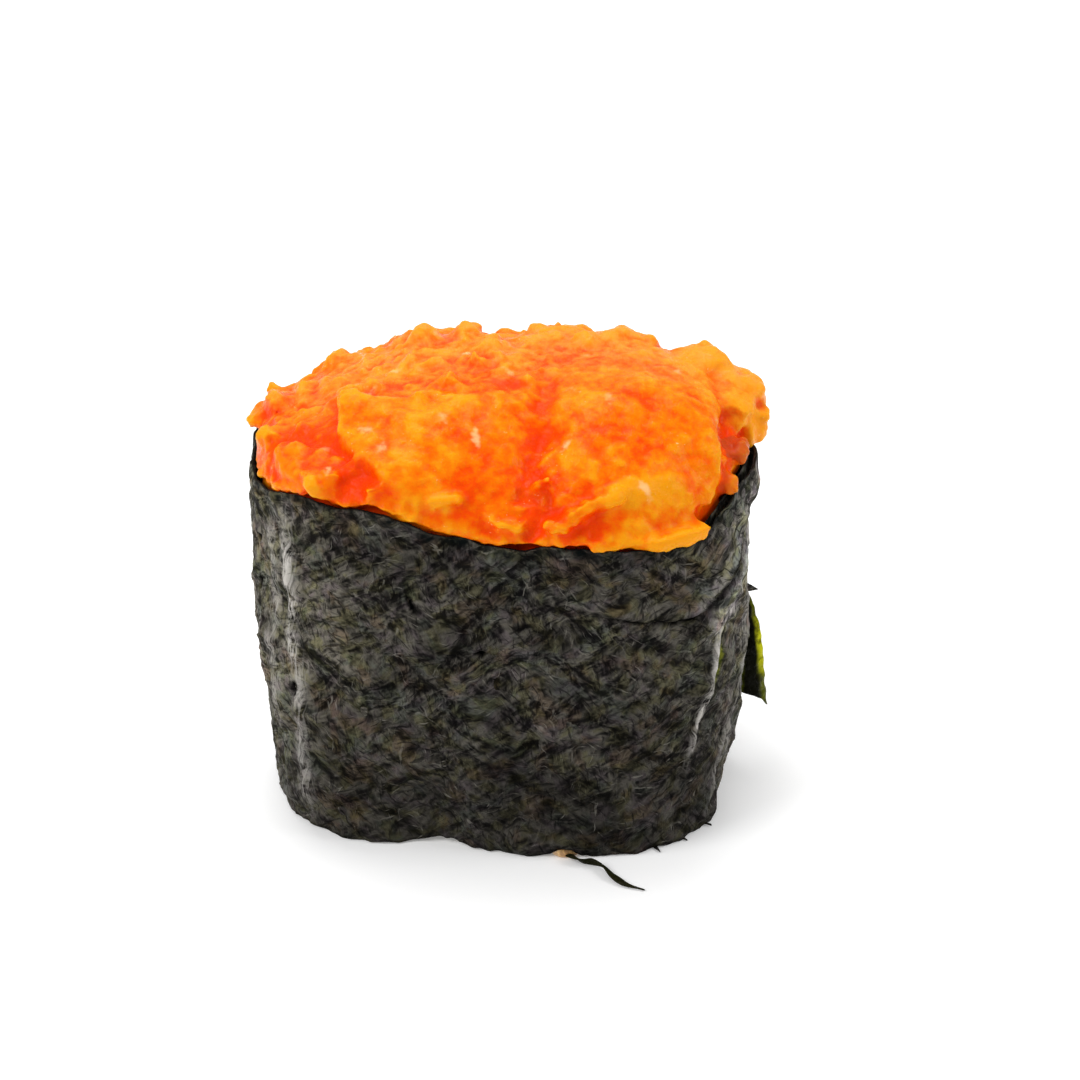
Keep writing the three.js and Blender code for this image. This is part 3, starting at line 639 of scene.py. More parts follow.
# Soft areas of the topping that are redder or yellower, seen from above: place, reach and shade.
# Some of these are painted shade, under the slab and in the valley in front, and some painted light, on the
# tongue.
TINTS = [
    ((-17.0, -9.5), 3.6, -0.6),
    ((-12.6, -12.4), 2.2, -0.8),
    ((3.2, -12.0), 2.4, -0.35),
    ((16.2, -14.2), 2.2, 1.5),
    ((10.0, -13.8), 2.0, 0.7),
    ((4.4, -15.6), 2.2, -0.8),
    ((-1.5, -16.0), 2.2, -0.7),
    ((12.0, -4.0), 4.5, -0.2),
    ((-14.5, -5.5), 2.2, 0.45),
    ((22.5, 1.5), 2.4, 0.3),
]
# Pale bits in the mash, seen from above, which are bits of mayonnaise and painted glints, to which a few
# faint ones are added at random.
FLECKS_AND_GLINTS = [
    (12.8, -13.3), (-10.2, 1.8), (-2.3, -10.1), (-12.2, -9.3), (5.8, -10.2), (-15.6, -12.4), (-3.4, 4.0),
]
FAINT_FLECKS = 14
# The chopped pieces of the mash: size, and how far they stand out.
CHOPPED = [(3.2, 0.24), (1.7, 0.34), (0.95, 0.2)]
mash_noise = Noise(31)


def lump(ball_points, middle, size, turn, squareness):
    """A rounded block of the half sizes, roughened and put in place."""
    blocky = ball_points / np.linalg.norm(ball_points, ord=squareness, axis=1)[:, None]
    shape = blocky * size
    swell = 1 + 0.16 * mash_noise.fractal(shape + 3 * middle, 0.9 * float(np.mean(size)), 2)
    return turned(shape * swell[:, None], *turn) + middle


def flake(corners):
    """A flat piece with rounded edges, which follows the mound under it."""
    closed = np.array([*corners, corners[0]])
    along = np.linspace(0, len(corners), FLAKE_SIDES, endpoint=False)
    rim = np.stack([np.interp(along, np.arange(len(closed)), closed[:, k]) for k in range(3)], -1)
    for _ in range(3):
        rim = 0.5 * rim + 0.25 * (np.roll(rim, 1, axis=0) + np.roll(rim, -1, axis=0))
    centre = rim.mean(axis=0)
    outward = unit((rim - centre) * [1, 1, 0])
    rim = rim + 0.6 * mash_noise.fractal(rim * [1, 1, 0], 2.2, 2)[:, None] * outward
    points = []
    for share, height in FLAKE_PROFILE:
        ring = centre + share * (rim - centre)
        ground = mound_height(ring[:, 0], ring[:, 1])
        own = height * ring[:, 2] if height > 0 else height + np.minimum(ring[:, 2], 0)
        ring[:, 2] = ground + own
        points.append(ring)
    quads = grid_faces(len(FLAKE_PROFILE), FLAKE_SIDES + 1)
    column, row = np.divmod(quads, FLAKE_SIDES + 1)
    quads = column * FLAKE_SIDES + row % FLAKE_SIDES
    faces = np.concatenate([quads[:, [0, 1, 2]], quads[:, [0, 2, 3]]])
    return np.concatenate(points), faces


def chopped(points, size, seed):
    """Divides the mash into pieces. Gives each point its height on its piece and the piece's tone."""
    random = np.random.default_rng(seed)
    low, high = points.min(axis=0) - size, points.max(axis=0) + size
    counts = np.ceil((high - low) / size).astype(int)
    corners = np.stack(np.meshgrid(*(np.arange(n) for n in counts), indexing="ij"), -1).reshape(-1, 3)
    centres = low + (corners + random.random(corners.shape)) * size
    tones = random.uniform(-1, 1, len(centres))
    slopes = random.normal(size=(len(centres), 3)) * 0.15
    tree = tree_of(centres)
    bend = Noise(seed)
    shifted = points + 0.3 * size * np.stack([bend.at(points + 60 * k, 0.9 * size) for k in range(3)], -1)
    nearest, near_far = np.empty(len(points), int), np.empty((len(points), 2))
    for i, point in enumerate(shifted):
        (_, nearest[i], near_far[i, 0]), (_, _, near_far[i, 1]) = tree.find_n(point, 2)
    gap = near_far[:, 1] - near_far[:, 0]
    tilt = np.sum(slopes[nearest] * (shifted - centres[nearest]), axis=1) / size
    dome = smooth(0, 0.6 * size, gap) * (1 - 0.4 * (near_far[:, 0] / size) ** 2)
    return dome * (0.8 + 0.35 * tones[nearest] + tilt), tones[nearest]


def is_inside(points, corners):
    """Whether points lie between the corners, seen from above."""
    x, y = np.asarray(points)[..., 0], np.asarray(points)[..., 1]
    inside = np.zeros(np.shape(x), bool)
    for (ax, ay, _), (bx, by, _) in zip(corners, corners[1:] + corners[:1]):
        crosses = (ay > y) != (by > y)
        inside ^= crosses & (x < (bx - ax) * (y - ay) / (by - ay if by != ay else 1) + ax)
    return inside


def on_large_flake(points):
    return np.any([is_inside(points, corners) for corners, _ in FLAKES[:LARGE_FLAKES]], axis=0)


def mash_shells(random):
    """The closed shells of the mound, and the place, mean size and shade of each lump among them."""
    fine_ball, coarse_ball = ball(4), ball(3)
    shells, lumps = [mound_body()], []

    def add_lump(shape, middle, size, turn, squareness, shade):
        points, faces = shape
        shells.append((lump(points, middle, size, turn, squareness), faces))
        lumps.append((middle, float(np.mean(size)), shade))

    for corners, _ in FLAKES:
        shells.append(flake(corners))
    for (x, y), lift, size, turn, shade in LUMPS:
        add_lump(fine_ball, np.array([x, y, mound_height(x, y) + lift]), size, turn, 2.4, shade)
    for i in range(MASH_COUNT):
        share = min(np.sqrt((i + 0.5) / MASH_COUNT) + 0.02 * random.normal(), 0.95)
        middle = mound_point(i * GOLDEN_ANGLE + 6 * random.normal(), share)
        half = 0.8 + 1.0 * random.random() ** 1.5
        size = half * np.array([1 + 1.2 * random.random(), 1, 0.5 + 0.3 * random.random()])
        turn = (360 * random.random(), 22 * random.normal(), 22 * random.normal())
        if not on_large_flake(middle):
            middle = middle - [0, 0, 0.45 * half]
            add_lump(coarse_ball, middle, size, turn, 2 + 2 * random.random(), 0.25 * random.normal())
    for i in range(EDGE_COUNT):
        facing = 360 * (i + 0.6 * random.random()) / EDGE_COUNT
        half = 0.45 + 0.5 * random.random()
        middle = mound_point(facing, 1 - (half - 0.2) / EDGE_REACH)
        middle[2] = rim_height(facing) + 0.2 + 0.4 * half
        turn = (facing + 90, 15 * random.normal(), 20 * random.normal())
        shade = 0.2 * random.normal()
        if abs(turn_between(facing, BARE_EDGE[0])) > BARE_EDGE[1]:
            add_lump(coarse_ball, middle, half * np.array([1.7, 1, 0.9]), turn, 2.6, shade)
    return shells, lumps


def roughen(piece):
    """Breaks the mash into chopped pieces, and gives the tone of each point's pieces."""
    points = blurred(piece, points_of(piece), 5)
    move_points(piece, points)
    rough = 1 - 0.55 * blurred(piece, on_large_flake(points), 8)
    tone = np.zeros(len(points))
    rise = 0.25 * mash_noise.at(points, 3.4) + 0.05 * mash_noise.at(points, 0.7)
    rise += 0.16 * np.abs(mash_noise.at(points + 80, 1.6))
    for k, (size, height) in enumerate(CHOPPED):
        level, piece_tone = chopped(points, size, 51 + k)
        rise = rise + height * rough * (level - 0.6)
        tone = tone + height * piece_tone
    points = points + normals_of(piece) * rise[:, None]
    move_points(piece, blurred(piece, points, 2))
    return tone


def tuck_in(piece):
    """Keeps the mash inside the band below its rim, and thins its mesh there."""
    points = points_of(piece)
    facing = direction_of(points[:, 0], points[:, 1])
    rim = rim_height(facing)
    limit = wall_radius(facing, np.minimum(points[:, 2], rim)) - CLEAR
    radius = np.hypot(points[:, 0], points[:, 1])
    below = smooth(-0.2, -0.9, points[:, 2] - rim)
    pulled = np.minimum(1, 1 - below * (1 - limit / np.maximum(radius, limit)))
    points[:, :2] *= pulled[:, None]
    move_points(piece, points)
    hidden = piece.vertex_groups.new(name="hidden")
    hidden.add(np.flatnonzero(points[:, 2] < rim - 2).tolist(), 1.0, "REPLACE")
    thin = piece.modifiers.new("thin", "DECIMATE")
    thin.vertex_group = "hidden"
    thin.ratio = HIDDEN_SHARE
    apply_modifiers(piece)
    piece.vertex_groups.clear()


def lump_shades(points, lumps):
    """The shade of the lump or flake that each point lies on, or else 0."""
    middles, sizes, shades = zip(*lumps)
    tree = tree_of(middles)
    shade = np.zeros(len(points))
    for i, point in enumerate(points):
        nearest = min(tree.find_n(point, 4), key=lambda found: found[2] / sizes[found[1]])
        if nearest[2] < SHADE_REACH * sizes[nearest[1]]:
            shade[i] = shades[nearest[1]]
    raised = points[:, 2] > mound_height(points[:, 0], points[:, 1]) + 0.1
    for corners, tone in FLAKES:
        shade = np.where(raised & is_inside(points, corners), 0.4 * shade + tone, shade)
    return shade


def flecks_and_glints(points, random):
    faint = random.uniform((-19, -12), (20, 12), (FAINT_FLECKS, 2))
    fleck_and_glint = np.zeros(len(points))
    for i, (x, y) in enumerate([*FLECKS_AND_GLINTS, *faint]):
        middle = np.array([x, y, mound_height(x, y) + 0.5])
        reach = turned((points - middle) * [1, 1, 0.4], 360 * random.random()) / [0.9, 0.45, 1]
        away = np.linalg.norm(reach, axis=1) + 0.5 * mash_noise.at(points, 0.5)
        strength = 0.9 if i < len(FLECKS_AND_GLINTS) else 0.5
        fleck_and_glint = np.maximum(fleck_and_glint, strength * smooth(1.0, 0.4, away))
    return fleck_and_glint


def make_salmon():
    random = np.random.default_rng(4)
    shells, lumps = mash_shells(random)
    piece = new_mesh("salmon_mound", *joined(shells))
    voxel_union(piece, MASH_VOXEL)
    add_values(piece, "tone", roughen(piece))
    tuck_in(piece)

    points, normals = points_of(piece), normals_of(piece)
    # Painted shade and light at three sizes: hollows darker and redder, crests lighter and yellower.
    for name, steps, size in (("raised", 14, 0.1), ("broad", 90, 0.35), ("form", 500, 1.2)):
        bump = np.sum((points - blurred(piece, points, steps)) * normals, axis=1)
        add_values(piece, name, bump / size)
    shade = lump_shades(points, lumps)
    add_values(piece, "browned", blurred(piece, np.clip(-shade, 0, 1) ** 3, 3))
    shade = blurred(piece, shade, 4)
    for (x, y), reach, tint in TINTS:
        shade = shade + tint * bell(np.hypot(points[:, 0] - x, points[:, 1] - y), reach)
    add_values(piece, "shade", shade)
    add_values(piece, "fleck_and_glint", flecks_and_glints(points, random))
    # A painted sheen on the high back of the mound, paler and pinker.
    add_values(piece, "rear_sheen", smooth(-6, 6, points[:, 1]) * smooth(37.5, 40.5, points[:, 2]))
    return piece


# ---- Rice ----
RICE_VOXEL = 0.3
RICE_FOOT = 2.6
# The block's rings under its grains: height, and distance inside the band.
RICE_RINGS = [(RICE_TOP, 1.6), (RICE_TOP - 1, 0.4), (16, 0.3), (8, 0.3), (RICE_FOOT, 0.5)]
GRAIN_SIZE = np.array([3.1, 1.4, 1.25])
GRAIN_BEND = 0.03
# Half the length of a grain's spine, and how far it keeps from the band.
GRAIN_SPINE = 1.9
GRAIN_MARGIN = 2.1
# Layers of grains on the underside: height, least distance between grains, and tries at placing one.
GRAIN_LAYERS = [(1.0, 2.2, 9000), (2.5, 2.0, 5000)]


def make_rice():
    random = np.random.default_rng(6)
    facing = np.linspace(0, 360, 96, endpoint=False)
    levels = [wall_point(facing, z, -CLEAR - inset) for z, inset in RICE_RINGS]
    shells = [stacked(levels, [0, 0, RICE_TOP], [0, 0, RICE_FOOT])]
    grain_points, grain_faces = ball(3)
    grain_points = grain_points * (1 - 0.12 * grain_points[:, :1] ** 2)

    def add_grain(x, y, z, heading, tilt, scale):
        shape = grain_points * GRAIN_SIZE * scale
        shape[:, 1] += GRAIN_BEND * shape[:, 0] ** 2
        shells.append((turned(shape, heading, tilt) + [x, y, z], grain_faces))

    for z, apart, tries in GRAIN_LAYERS:
        placed = np.empty((0, 2))
        for _ in range(tries):
            x, y = 21 * (2 * random.random() - 1), 15 * (2 * random.random() - 1)
            heading = 180 * random.random()
            reach = GRAIN_SPINE * np.array([np.cos(np.radians(heading)), np.sin(np.radians(heading))])
            spine = np.array([[x, y] - reach, [x, y], [x, y] + reach])
            wall = wall_radius(direction_of(*spine.T), 0.5)
            if np.any(wall - np.hypot(*spine.T) < GRAIN_MARGIN):
                continue
            if len(placed) and np.min(np.linalg.norm(placed[:, None] - spine, axis=2)) < apart:
                continue
            placed = np.concatenate([placed, spine])
            lift, tilt = 0.2 * random.random(), 8 * random.normal()
            add_grain(x, y, z + lift, heading, tilt, 0.92 + 0.16 * random.random())
    peek = wall_point(PEEK_DIRECTION, 0.6, -0.35)
    add_grain(peek[0], peek[1], 0.5, 8, 3, 0.54)
    piece = new_mesh("rice_block", *joined(shells))
    voxel_union(piece, RICE_VOXEL)
    points = points_of(piece)
    points = 0.4 * points + 0.6 * blurred(piece, points, 2)
    points[:, 2] = np.maximum(points[:, 2], 0.0)
    move_points(piece, points)
    # The grain that peeks out under the foot is tan.
    add_values(piece, "peek_tan", bell(np.linalg.norm(points - peek, axis=1), 1.6))
    return piece


# ---- Loose nori ----
def spline(knots, count):
    """A smooth curve through the knots."""
    knots = np.asarray(knots, float)
    ends = np.concatenate([[2 * knots[0] - knots[1]], knots, [2 * knots[-1] - knots[-2]]])
    at = np.linspace(0, len(knots) - 1 - 1e-9, count)
    k = at.astype(int)
    t = (at - k)[:, None]
    a, b, c, d = ends[k], ends[k + 1], ends[k + 2], ends[k + 3]
    bend = (2 * a - 5 * b + 4 * c - d) * t**2 + (3 * b - a - 3 * c + d) * t**3
    return 0.5 * (2 * b + (c - a) * t + bend)


# The loose sliver in front of the band, from its root under the foot to its tip.
SLIVER_KNOTS = [
    (6.3, -15.7, 0.5), (7.4, -16.7, 0.45), (8.6, -17.0, 0.6), (9.6, -17.8, 0.5),
    (10.4, -19.2, 0.45), (11.5, -20.4, 0.3), (13.25, -21.1, 0.12),
]
SLIVER_HALF_WIDTH = 0.6
SLIVER_THICKNESS = 0.12
# How far the sliver's edges bend up, for each millimetre of half width.
SLIVER_CURL = 0.3


def make_sliver():
    spine = spline(SLIVER_KNOTS, 80)
    t = np.linspace(0, 1, len(spine))
    half = SLIVER_HALF_WIDTH * (1 - smooth(0.5, 1.0, t)) * (0.8 + 0.3 * np.sin(9 * t)) + 0.06
    twist = np.radians(20 + 45 * np.sin(5 * t))[:, None]
    tangent = unit(np.gradient(spine, axis=0))
    upward = np.array([0, 0, 1.0])
    across = unit(np.cross(tangent, upward)) * np.cos(twist) + upward * np.sin(twist)
    normal = unit(np.cross(tangent, across))
    lanes = np.linspace(-1, 1, 7)[None, :, None]
    half = half[:, None, None]
    curl = SLIVER_CURL * half * lanes**2
    points = spine[:, None] + lanes * half * across[:, None] + curl * normal[:, None]
    piece = new_mesh("nori_sliver", points.reshape(-1, 3), grid_faces(*points.shape[:2]))
    thicken(piece, SLIVER_THICKNESS)
    points = points_of(piece)
    add_values(piece, "sheet", points + [300, 0, 0])
    points[:, 2] = np.maximum(points[:, 2], LOOSE_LIFT)
    move_points(piece, points)
    return piece


# Torn bits at the band's foot and beside the flap: direction, height, reach, width, lean and roll.
FRINGE = [
    (-27.5, 0.2, 1.7, 0.9, 14, 0),
    (-35.8, 0.1, 1.3, 0.8, -8, 0),
    (-43.7, 0.12, 1.3, 0.7, 15, 0),
    (-31.5, 0.4, 1.0, 0.5, -20, 0),
    (3.0, 20.0, 2.1, 1.5, 0, 80),
    (70.0, 0.12, 1.1, 0.7, -10, 0),
    (150.0, 0.1, 1.2, 0.6, 10, 0),
]
# The four edges of a torn bit: place across it, in half widths, and height in millimetres.
FRINGE_EDGES = [(1, 0.0), (0, 0.12), (-1, 0.0), (0, -0.12)]


def torn_bit(facing, z, reach, width, lean, roll):
    lengths = np.array([-0.5, 0.3 * reach, 0.7 * reach, reach])
    halves = 0.5 * width * np.array([1, 0.8, 0.4, 0.05])
    along, roll = np.radians((facing + lean, roll))
    level = np.array([-np.sin(along), np.cos(along), 0])
    upright = np.array([0, 0, 1])
    side = np.cos(roll) * level + np.sin(roll) * upright
    face = np.cos(roll) * upright - np.sin(roll) * level
    middle = wall_point(facing, z, lengths + 0.1) - np.sin(roll) * 0.25 * lengths[:, None] * upright
    points = np.concatenate([middle + across * halves[:, None] * side + rise * face
                             for across, rise in FRINGE_EDGES])
    faces = [(4 * k + i, 4 * k + i + 1, 4 * ((k + 1) % 4) + i + 1, 4 * ((k + 1) % 4) + i)
             for k in range(4) for i in range(3)]
    return points, np.array([*faces, (0, 4, 8, 12), (15, 11, 7, 3)])


def make_fringe():
    points, faces = joined([torn_bit(*bit) for bit in FRINGE])
    points[:, 2] = np.maximum(points[:, 2], LOOSE_LIFT)
    piece = new_mesh("nori_fringe", points, faces)
    add_values(piece, "sheet", points + [400, 0, 0])
    return piece


# Where the flap springs from the band, from which height to which, and how far it stands away.
FLAP_DIRECTION = 9.0
FLAP_TOP = 18.9
FLAP_FOOT = 7.0
FLAP_REACH = 4.1
FLAP_THICKNESS = 0.15


def make_flap():
    """The torn corner of the strip's outer end, which stands away from the band on the right."""
    steps, lanes = 60, 26
    t = np.linspace(0, 1, steps)[:, None]
    u = np.linspace(0, 1, lanes)[None, :]
    z = FLAP_TOP * (1 - t) + t * (FLAP_FOOT - 2.6 * u**3)
    root = wall_point(FLAP_DIRECTION, z, LAYER_STEP - 0.1)
    reach = u * (FLAP_REACH * t**0.66 * (1 + 0.05 * np.sin(7 * t)) + 0.4)
    lean = np.radians(-8 + 25 * u**2 * t)
    fold = 0.5 * np.sin(np.pi * u) * t + 0.18 * np.sin(11 * t + 3 * u)
    away = np.stack([reach * np.cos(lean), reach * np.sin(lean) - fold, 0 * z], -1)
    points = (root + away).reshape(-1, 3)
    points = points + 0.12 * np.stack([Noise(k).at(points, 1.2) for k in (41, 42, 43)], -1)
    piece = new_mesh("nori_flap", points, grid_faces(steps, lanes))
    add_values(piece, "edge", np.repeat(u, steps, 0).ravel())
    add_values(piece, "low", np.repeat(t, lanes, 1).ravel())
    thicken(piece, FLAP_THICKNESS)
    add_values(piece, "sheet", points_of(piece) + [250, 0, 0])
    return piece


# ---- Materials ----
def rgb(r, g, b):
    return (r, g, b, 1)


class Nodes:
    """A short way to build a material's node tree."""

    def __init__(self, name):
        self.material = bpy.data.materials.new(name)
        self.material.use_nodes = True
        self.tree = self.material.node_tree
        self.shader = self.tree.nodes["Principled BSDF"]

    def add(self, kind, inputs=None, **settings):
        node = self.tree.nodes.new(kind)
        for key, value in settings.items():
            setattr(node, key, value)
        for key, value in (inputs or {}).items():
            self.put(node.inputs[key], value)
        return node

    def put(self, socket, value):
        if isinstance(value, bpy.types.NodeSocket):
            self.tree.links.new(value, socket)
        else:
            socket.default_value = value

    def attribute(self, name, output="Fac"):
        return self.add("ShaderNodeAttribute", attribute_name=name).outputs[output]

    def math(self, operation, a, b, clamp=False):
        return self.add("ShaderNodeMath", {0: a, 1: b}, operation=operation, use_clamp=clamp).outputs[0]

    def chain(self, operation, first, *others):
        for value in others:
            first = self.math(operation, first, value)
        return first

    def total(self, *values):
        return self.chain("ADD", *values)

    def product(self, *values):
        return self.chain("MULTIPLY", *values)

    def vector(self, operation, a, b):
        return self.add("ShaderNodeVectorMath", {0: a, 1: b}, operation=operation).outputs[0]

    def ramp(self, value, low, high, to_low=0.0, to_high=1.0):
        """Turns low to high into to_low to to_high, with soft ends."""
        inputs = {"Value": value, "From Min": low, "From Max": high, "To Min": to_low, "To Max": to_high}
        return self.add("ShaderNodeMapRange", inputs, interpolation_type="SMOOTHSTEP").outputs[0]

    def mix(self, factor, a, b, blend="MIX"):
        inputs = {0: factor, 6: a, 7: b}
        return self.add("ShaderNodeMix", inputs, data_type="RGBA", blend_type=blend).outputs[2]

    def coated(self, colour, *coats):
        """The colour with others laid over it: how much of each, and the colour."""
        for factor, coat in coats:
            colour = self.mix(factor, colour, coat)
        return colour

    def bump(self, relief, distance, strength):
        inputs = {"Height": relief, "Distance": distance * MM, "Strength": strength}
        self.set({"Normal": self.add("ShaderNodeBump", inputs).outputs[0]})

    def set(self, inputs):
        """Gives the shader its inputs."""
        for name, value in inputs.items():
            self.put(self.shader.inputs[name], value)

    def noise(self, vector, size, detail=2.0, roughness=0.5):
        """Noise whose blobs are about size, in the vector's own units."""
        inputs = {"Vector": vector, "Scale": 1 / size, "Detail": detail, "Roughness": roughness}
        return self.add("ShaderNodeTexNoise", inputs).outputs[0]

    def stretched(self, vector, angle, length, width, shift):
        """The vector turned in the sheet's plane and scaled, for noise of size 1 to become strokes."""
        mapping = self.add("ShaderNodeMapping", {"Vector": vector}, vector_type="TEXTURE")
        mapping.inputs["Rotation"].default_value = (0, 0, np.radians(angle))
        mapping.inputs["Scale"].default_value = (length, width, 1)
        mapping.inputs["Location"].default_value = (shift, 0, shift)
        return mapping.outputs[0]

    def streaks(self, vector, angle, length, width, shift, size=1.0, detail=2, roughness=0.5):
        """Noise drawn out at an angle. Each shift gives other streaks."""
        return self.noise(self.stretched(vector, angle, length, width, shift), size, detail, roughness)


# Strokes of the sheet's fibres and cracks: angle in degrees, length and width.
FIBRES = [(-50, 2.6, 0.36), (-10, 2.8, 0.32), (28, 2.2, 0.36), (80, 2.4, 0.34)]
CRACKS = [(-38, 2.0, 0.3), (20, 1.8, 0.3), (-80, 1.6, 0.3)]
# Faint tints of the sheet: which of two noises, where on it the tint starts and is full, and its colour.
TINGES = [
    (0, 0.5, 0.62, rgb(0.99, 1.0, 0.72)),
    (0, 0.46, 0.36, rgb(0.97, 0.9, 1.05)),
    (1, 0.54, 0.64, rgb(1.08, 0.92, 0.8)),
    (1, 0.44, 0.36, rgb(0.88, 0.98, 0.97)),
]


class NoriNodes(Nodes):
    """A material with the patterns of a sheet of nori, in millimetres along and up the sheet."""

    def __init__(self, name):
        super().__init__(name)
        self.sheet = self.attribute("sheet", "Vector")
        self.height = self.add("ShaderNodeSeparateXYZ", {0: self.sheet}).outputs["Y"]
        self.warped = self.swirled(self.swirled(self.sheet, 6.0, 2.4), 1.7, 0.8)
        self.grain = self.noise(self.sheet, 0.45, 3, 0.6)
        self.fibres = self.strokes(FIBRES, 0.54, 0.7, 3.0, 0.05)
        self.cracks = self.strokes(CRACKS, 0.42, 0.33, 3.4, 0.1)
        self.creases = self.crumple(self.warped)
        self.flow = self.slanting_flow()
        self.body = self.lightness()

    def swirled(self, vector, size, push):
        """The same places, pushed about by soft noise."""
        swirl = self.add("ShaderNodeTexNoise", {"Vector": vector, "Scale": 1 / size, "Detail": 1.0})
        centred = self.vector("SUBTRACT", swirl.outputs["Color"], (0.5, 0.5, 0.5))
        return self.vector("ADD", vector, self.vector("MULTIPLY", centred, (push, push, 0)))

    def patches(self, shift, size, detail=2):
        """Soft patches of the sheet."""
        return self.streaks(self.sheet, 0, 1, 1, shift, size, detail)

    def strokes(self, kinds, low, high, patch_size, patch_low):
        """Short strokes in several directions, each in patches of its own."""
        layers, shift = [], 100 * low
        for k, (angle, length, width) in enumerate(kinds):
            stroke = self.streaks(self.warped, angle, length, width, 11 + 13 * k + shift)
            patch = self.patches(40 + 17 * k + shift, patch_size)
            shown = self.ramp(patch, 0.42, 0.58, patch_low, 1)
            layers.append(self.product(self.ramp(stroke, low, high), shown))
        return self.chain("MAXIMUM", *layers)

    def crumple(self, vector):
        """Height of the sheet's fine crumples."""
        inputs = {"Vector": self.stretched(vector, -38, 5.0, 2.6, 90), "Scale": 1.0, "Detail": 3.0,
                  "Roughness": 0.6, "Offset": 0.85, "Gain": 1.6}
        ridges = self.add("ShaderNodeTexNoise", inputs, noise_type="RIDGED_MULTIFRACTAL", normalize=False)
        folds = self.streaks(vector, 35, 3.4, 1.4, 30, detail=3, roughness=0.6)
        slanted = self.streaks(vector, -72, 3.0, 0.9, 60, detail=3)
        return self.total(self.product(ridges.outputs[0], 0.2), folds, slanted)

    def slanting_flow(self):
        """Broad strokes, which fall to the right in some patches and rise in others."""
        falling = self.streaks(self.warped, -38, 2.3, 0.8, 300, detail=4, roughness=0.62)
        rising = self.streaks(self.warped, 35, 2.1, 0.75, 330, detail=4, roughness=0.62)
        side = self.ramp(self.patches(230, 3.6, 1), 0.47, 0.53)
        other_side = self.math("SUBTRACT", 1.0, side)
        return self.total(self.product(rising, side), self.product(falling, other_side))

    def lightness(self):
        """How light the sheet is, around 0, with painted light and shade on crests, upward facets and
        crumples.
        """
        # Painted light and shade of the crumples, as if lit from the upper left.
        aside = self.vector("ADD", self.warped, (-0.14, 0.19, 0))
        lit = self.math("SUBTRACT", self.creases, self.crumple(aside))
        crisp = self.ramp(self.patches(200, 3.0), 0.36, 0.62, 0.35, 1.0)
        cloud = self.streaks(self.warped, -40, 1.5, 1.0, 260, 3.6)
        return self.total(
            self.ramp(self.fibres, 0.0, 0.9, -0.1, 0.6),
            self.ramp(self.flow, 0.3, 0.7, -0.8, 0.8),
            self.ramp(self.grain, 0.3, 0.7, -0.1, 0.1),
            self.ramp(cloud, 0.35, 0.65, -0.25, 0.25),
            self.ramp(self.attribute("crest"), -1.8, 1.8, -0.25, 0.25),
            self.ramp(self.attribute("upward"), -1.8, 1.8, -0.5, 0.5),
            self.product(self.ramp(lit, -0.2, 0.2, -0.85, 0.85), crisp),
        )


def nori_base(n):
    """The sheet's dark and light colours, mixed by its lightness, with painted light on corners and crease,
    faint tints, and painted shade low down.
    """
    corner_light, sheen = n.product(n.attribute("corner_light"), 0.9), n.attribute("sheen")
    low = n.mix(corner_light, rgb(0.0062, 0.0056, 0.0052), rgb(0.016, 0.0145, 0.011))
    high = n.mix(corner_light, rgb(0.1, 0.092, 0.077), rgb(0.27, 0.246, 0.19))
    low = n.mix(sheen, low, rgb(0.08, 0.075, 0.067))
    high = n.mix(sheen, high, rgb(0.62, 0.585, 0.53))
    share = n.ramp(n.product(n.body, n.ramp(n.height, 4, 18, 0.66, 0.97)), -1.2, 1.8)
    colour = n.mix(share, low, high)
    noises = [n.streaks(n.warped, 30, 1, 1, 70, 1.7, 3), n.streaks(n.warped, 10, 1, 1, 130, 2.3, 3)]
    for which, start, full, tint in TINGES:
        colour = n.mix(n.ramp(noises[which], start, full), colour, tint, "MULTIPLY")
    # Darker towards the foot as painted shade, and in soft random patches.
    clouds = n.ramp(n.noise(n.sheet, 6.0), 0.36, 0.62, 0.75, 1.15)
    shade = n.product(n.ramp(n.height, 3, 22, 0.68, 1.0), clouds)
    grey = n.add("ShaderNodeCombineColor", {0: shade, 1: shade, 2: shade}).outputs[0]
    return n.mix(1.0, colour, grey, "MULTIPLY")


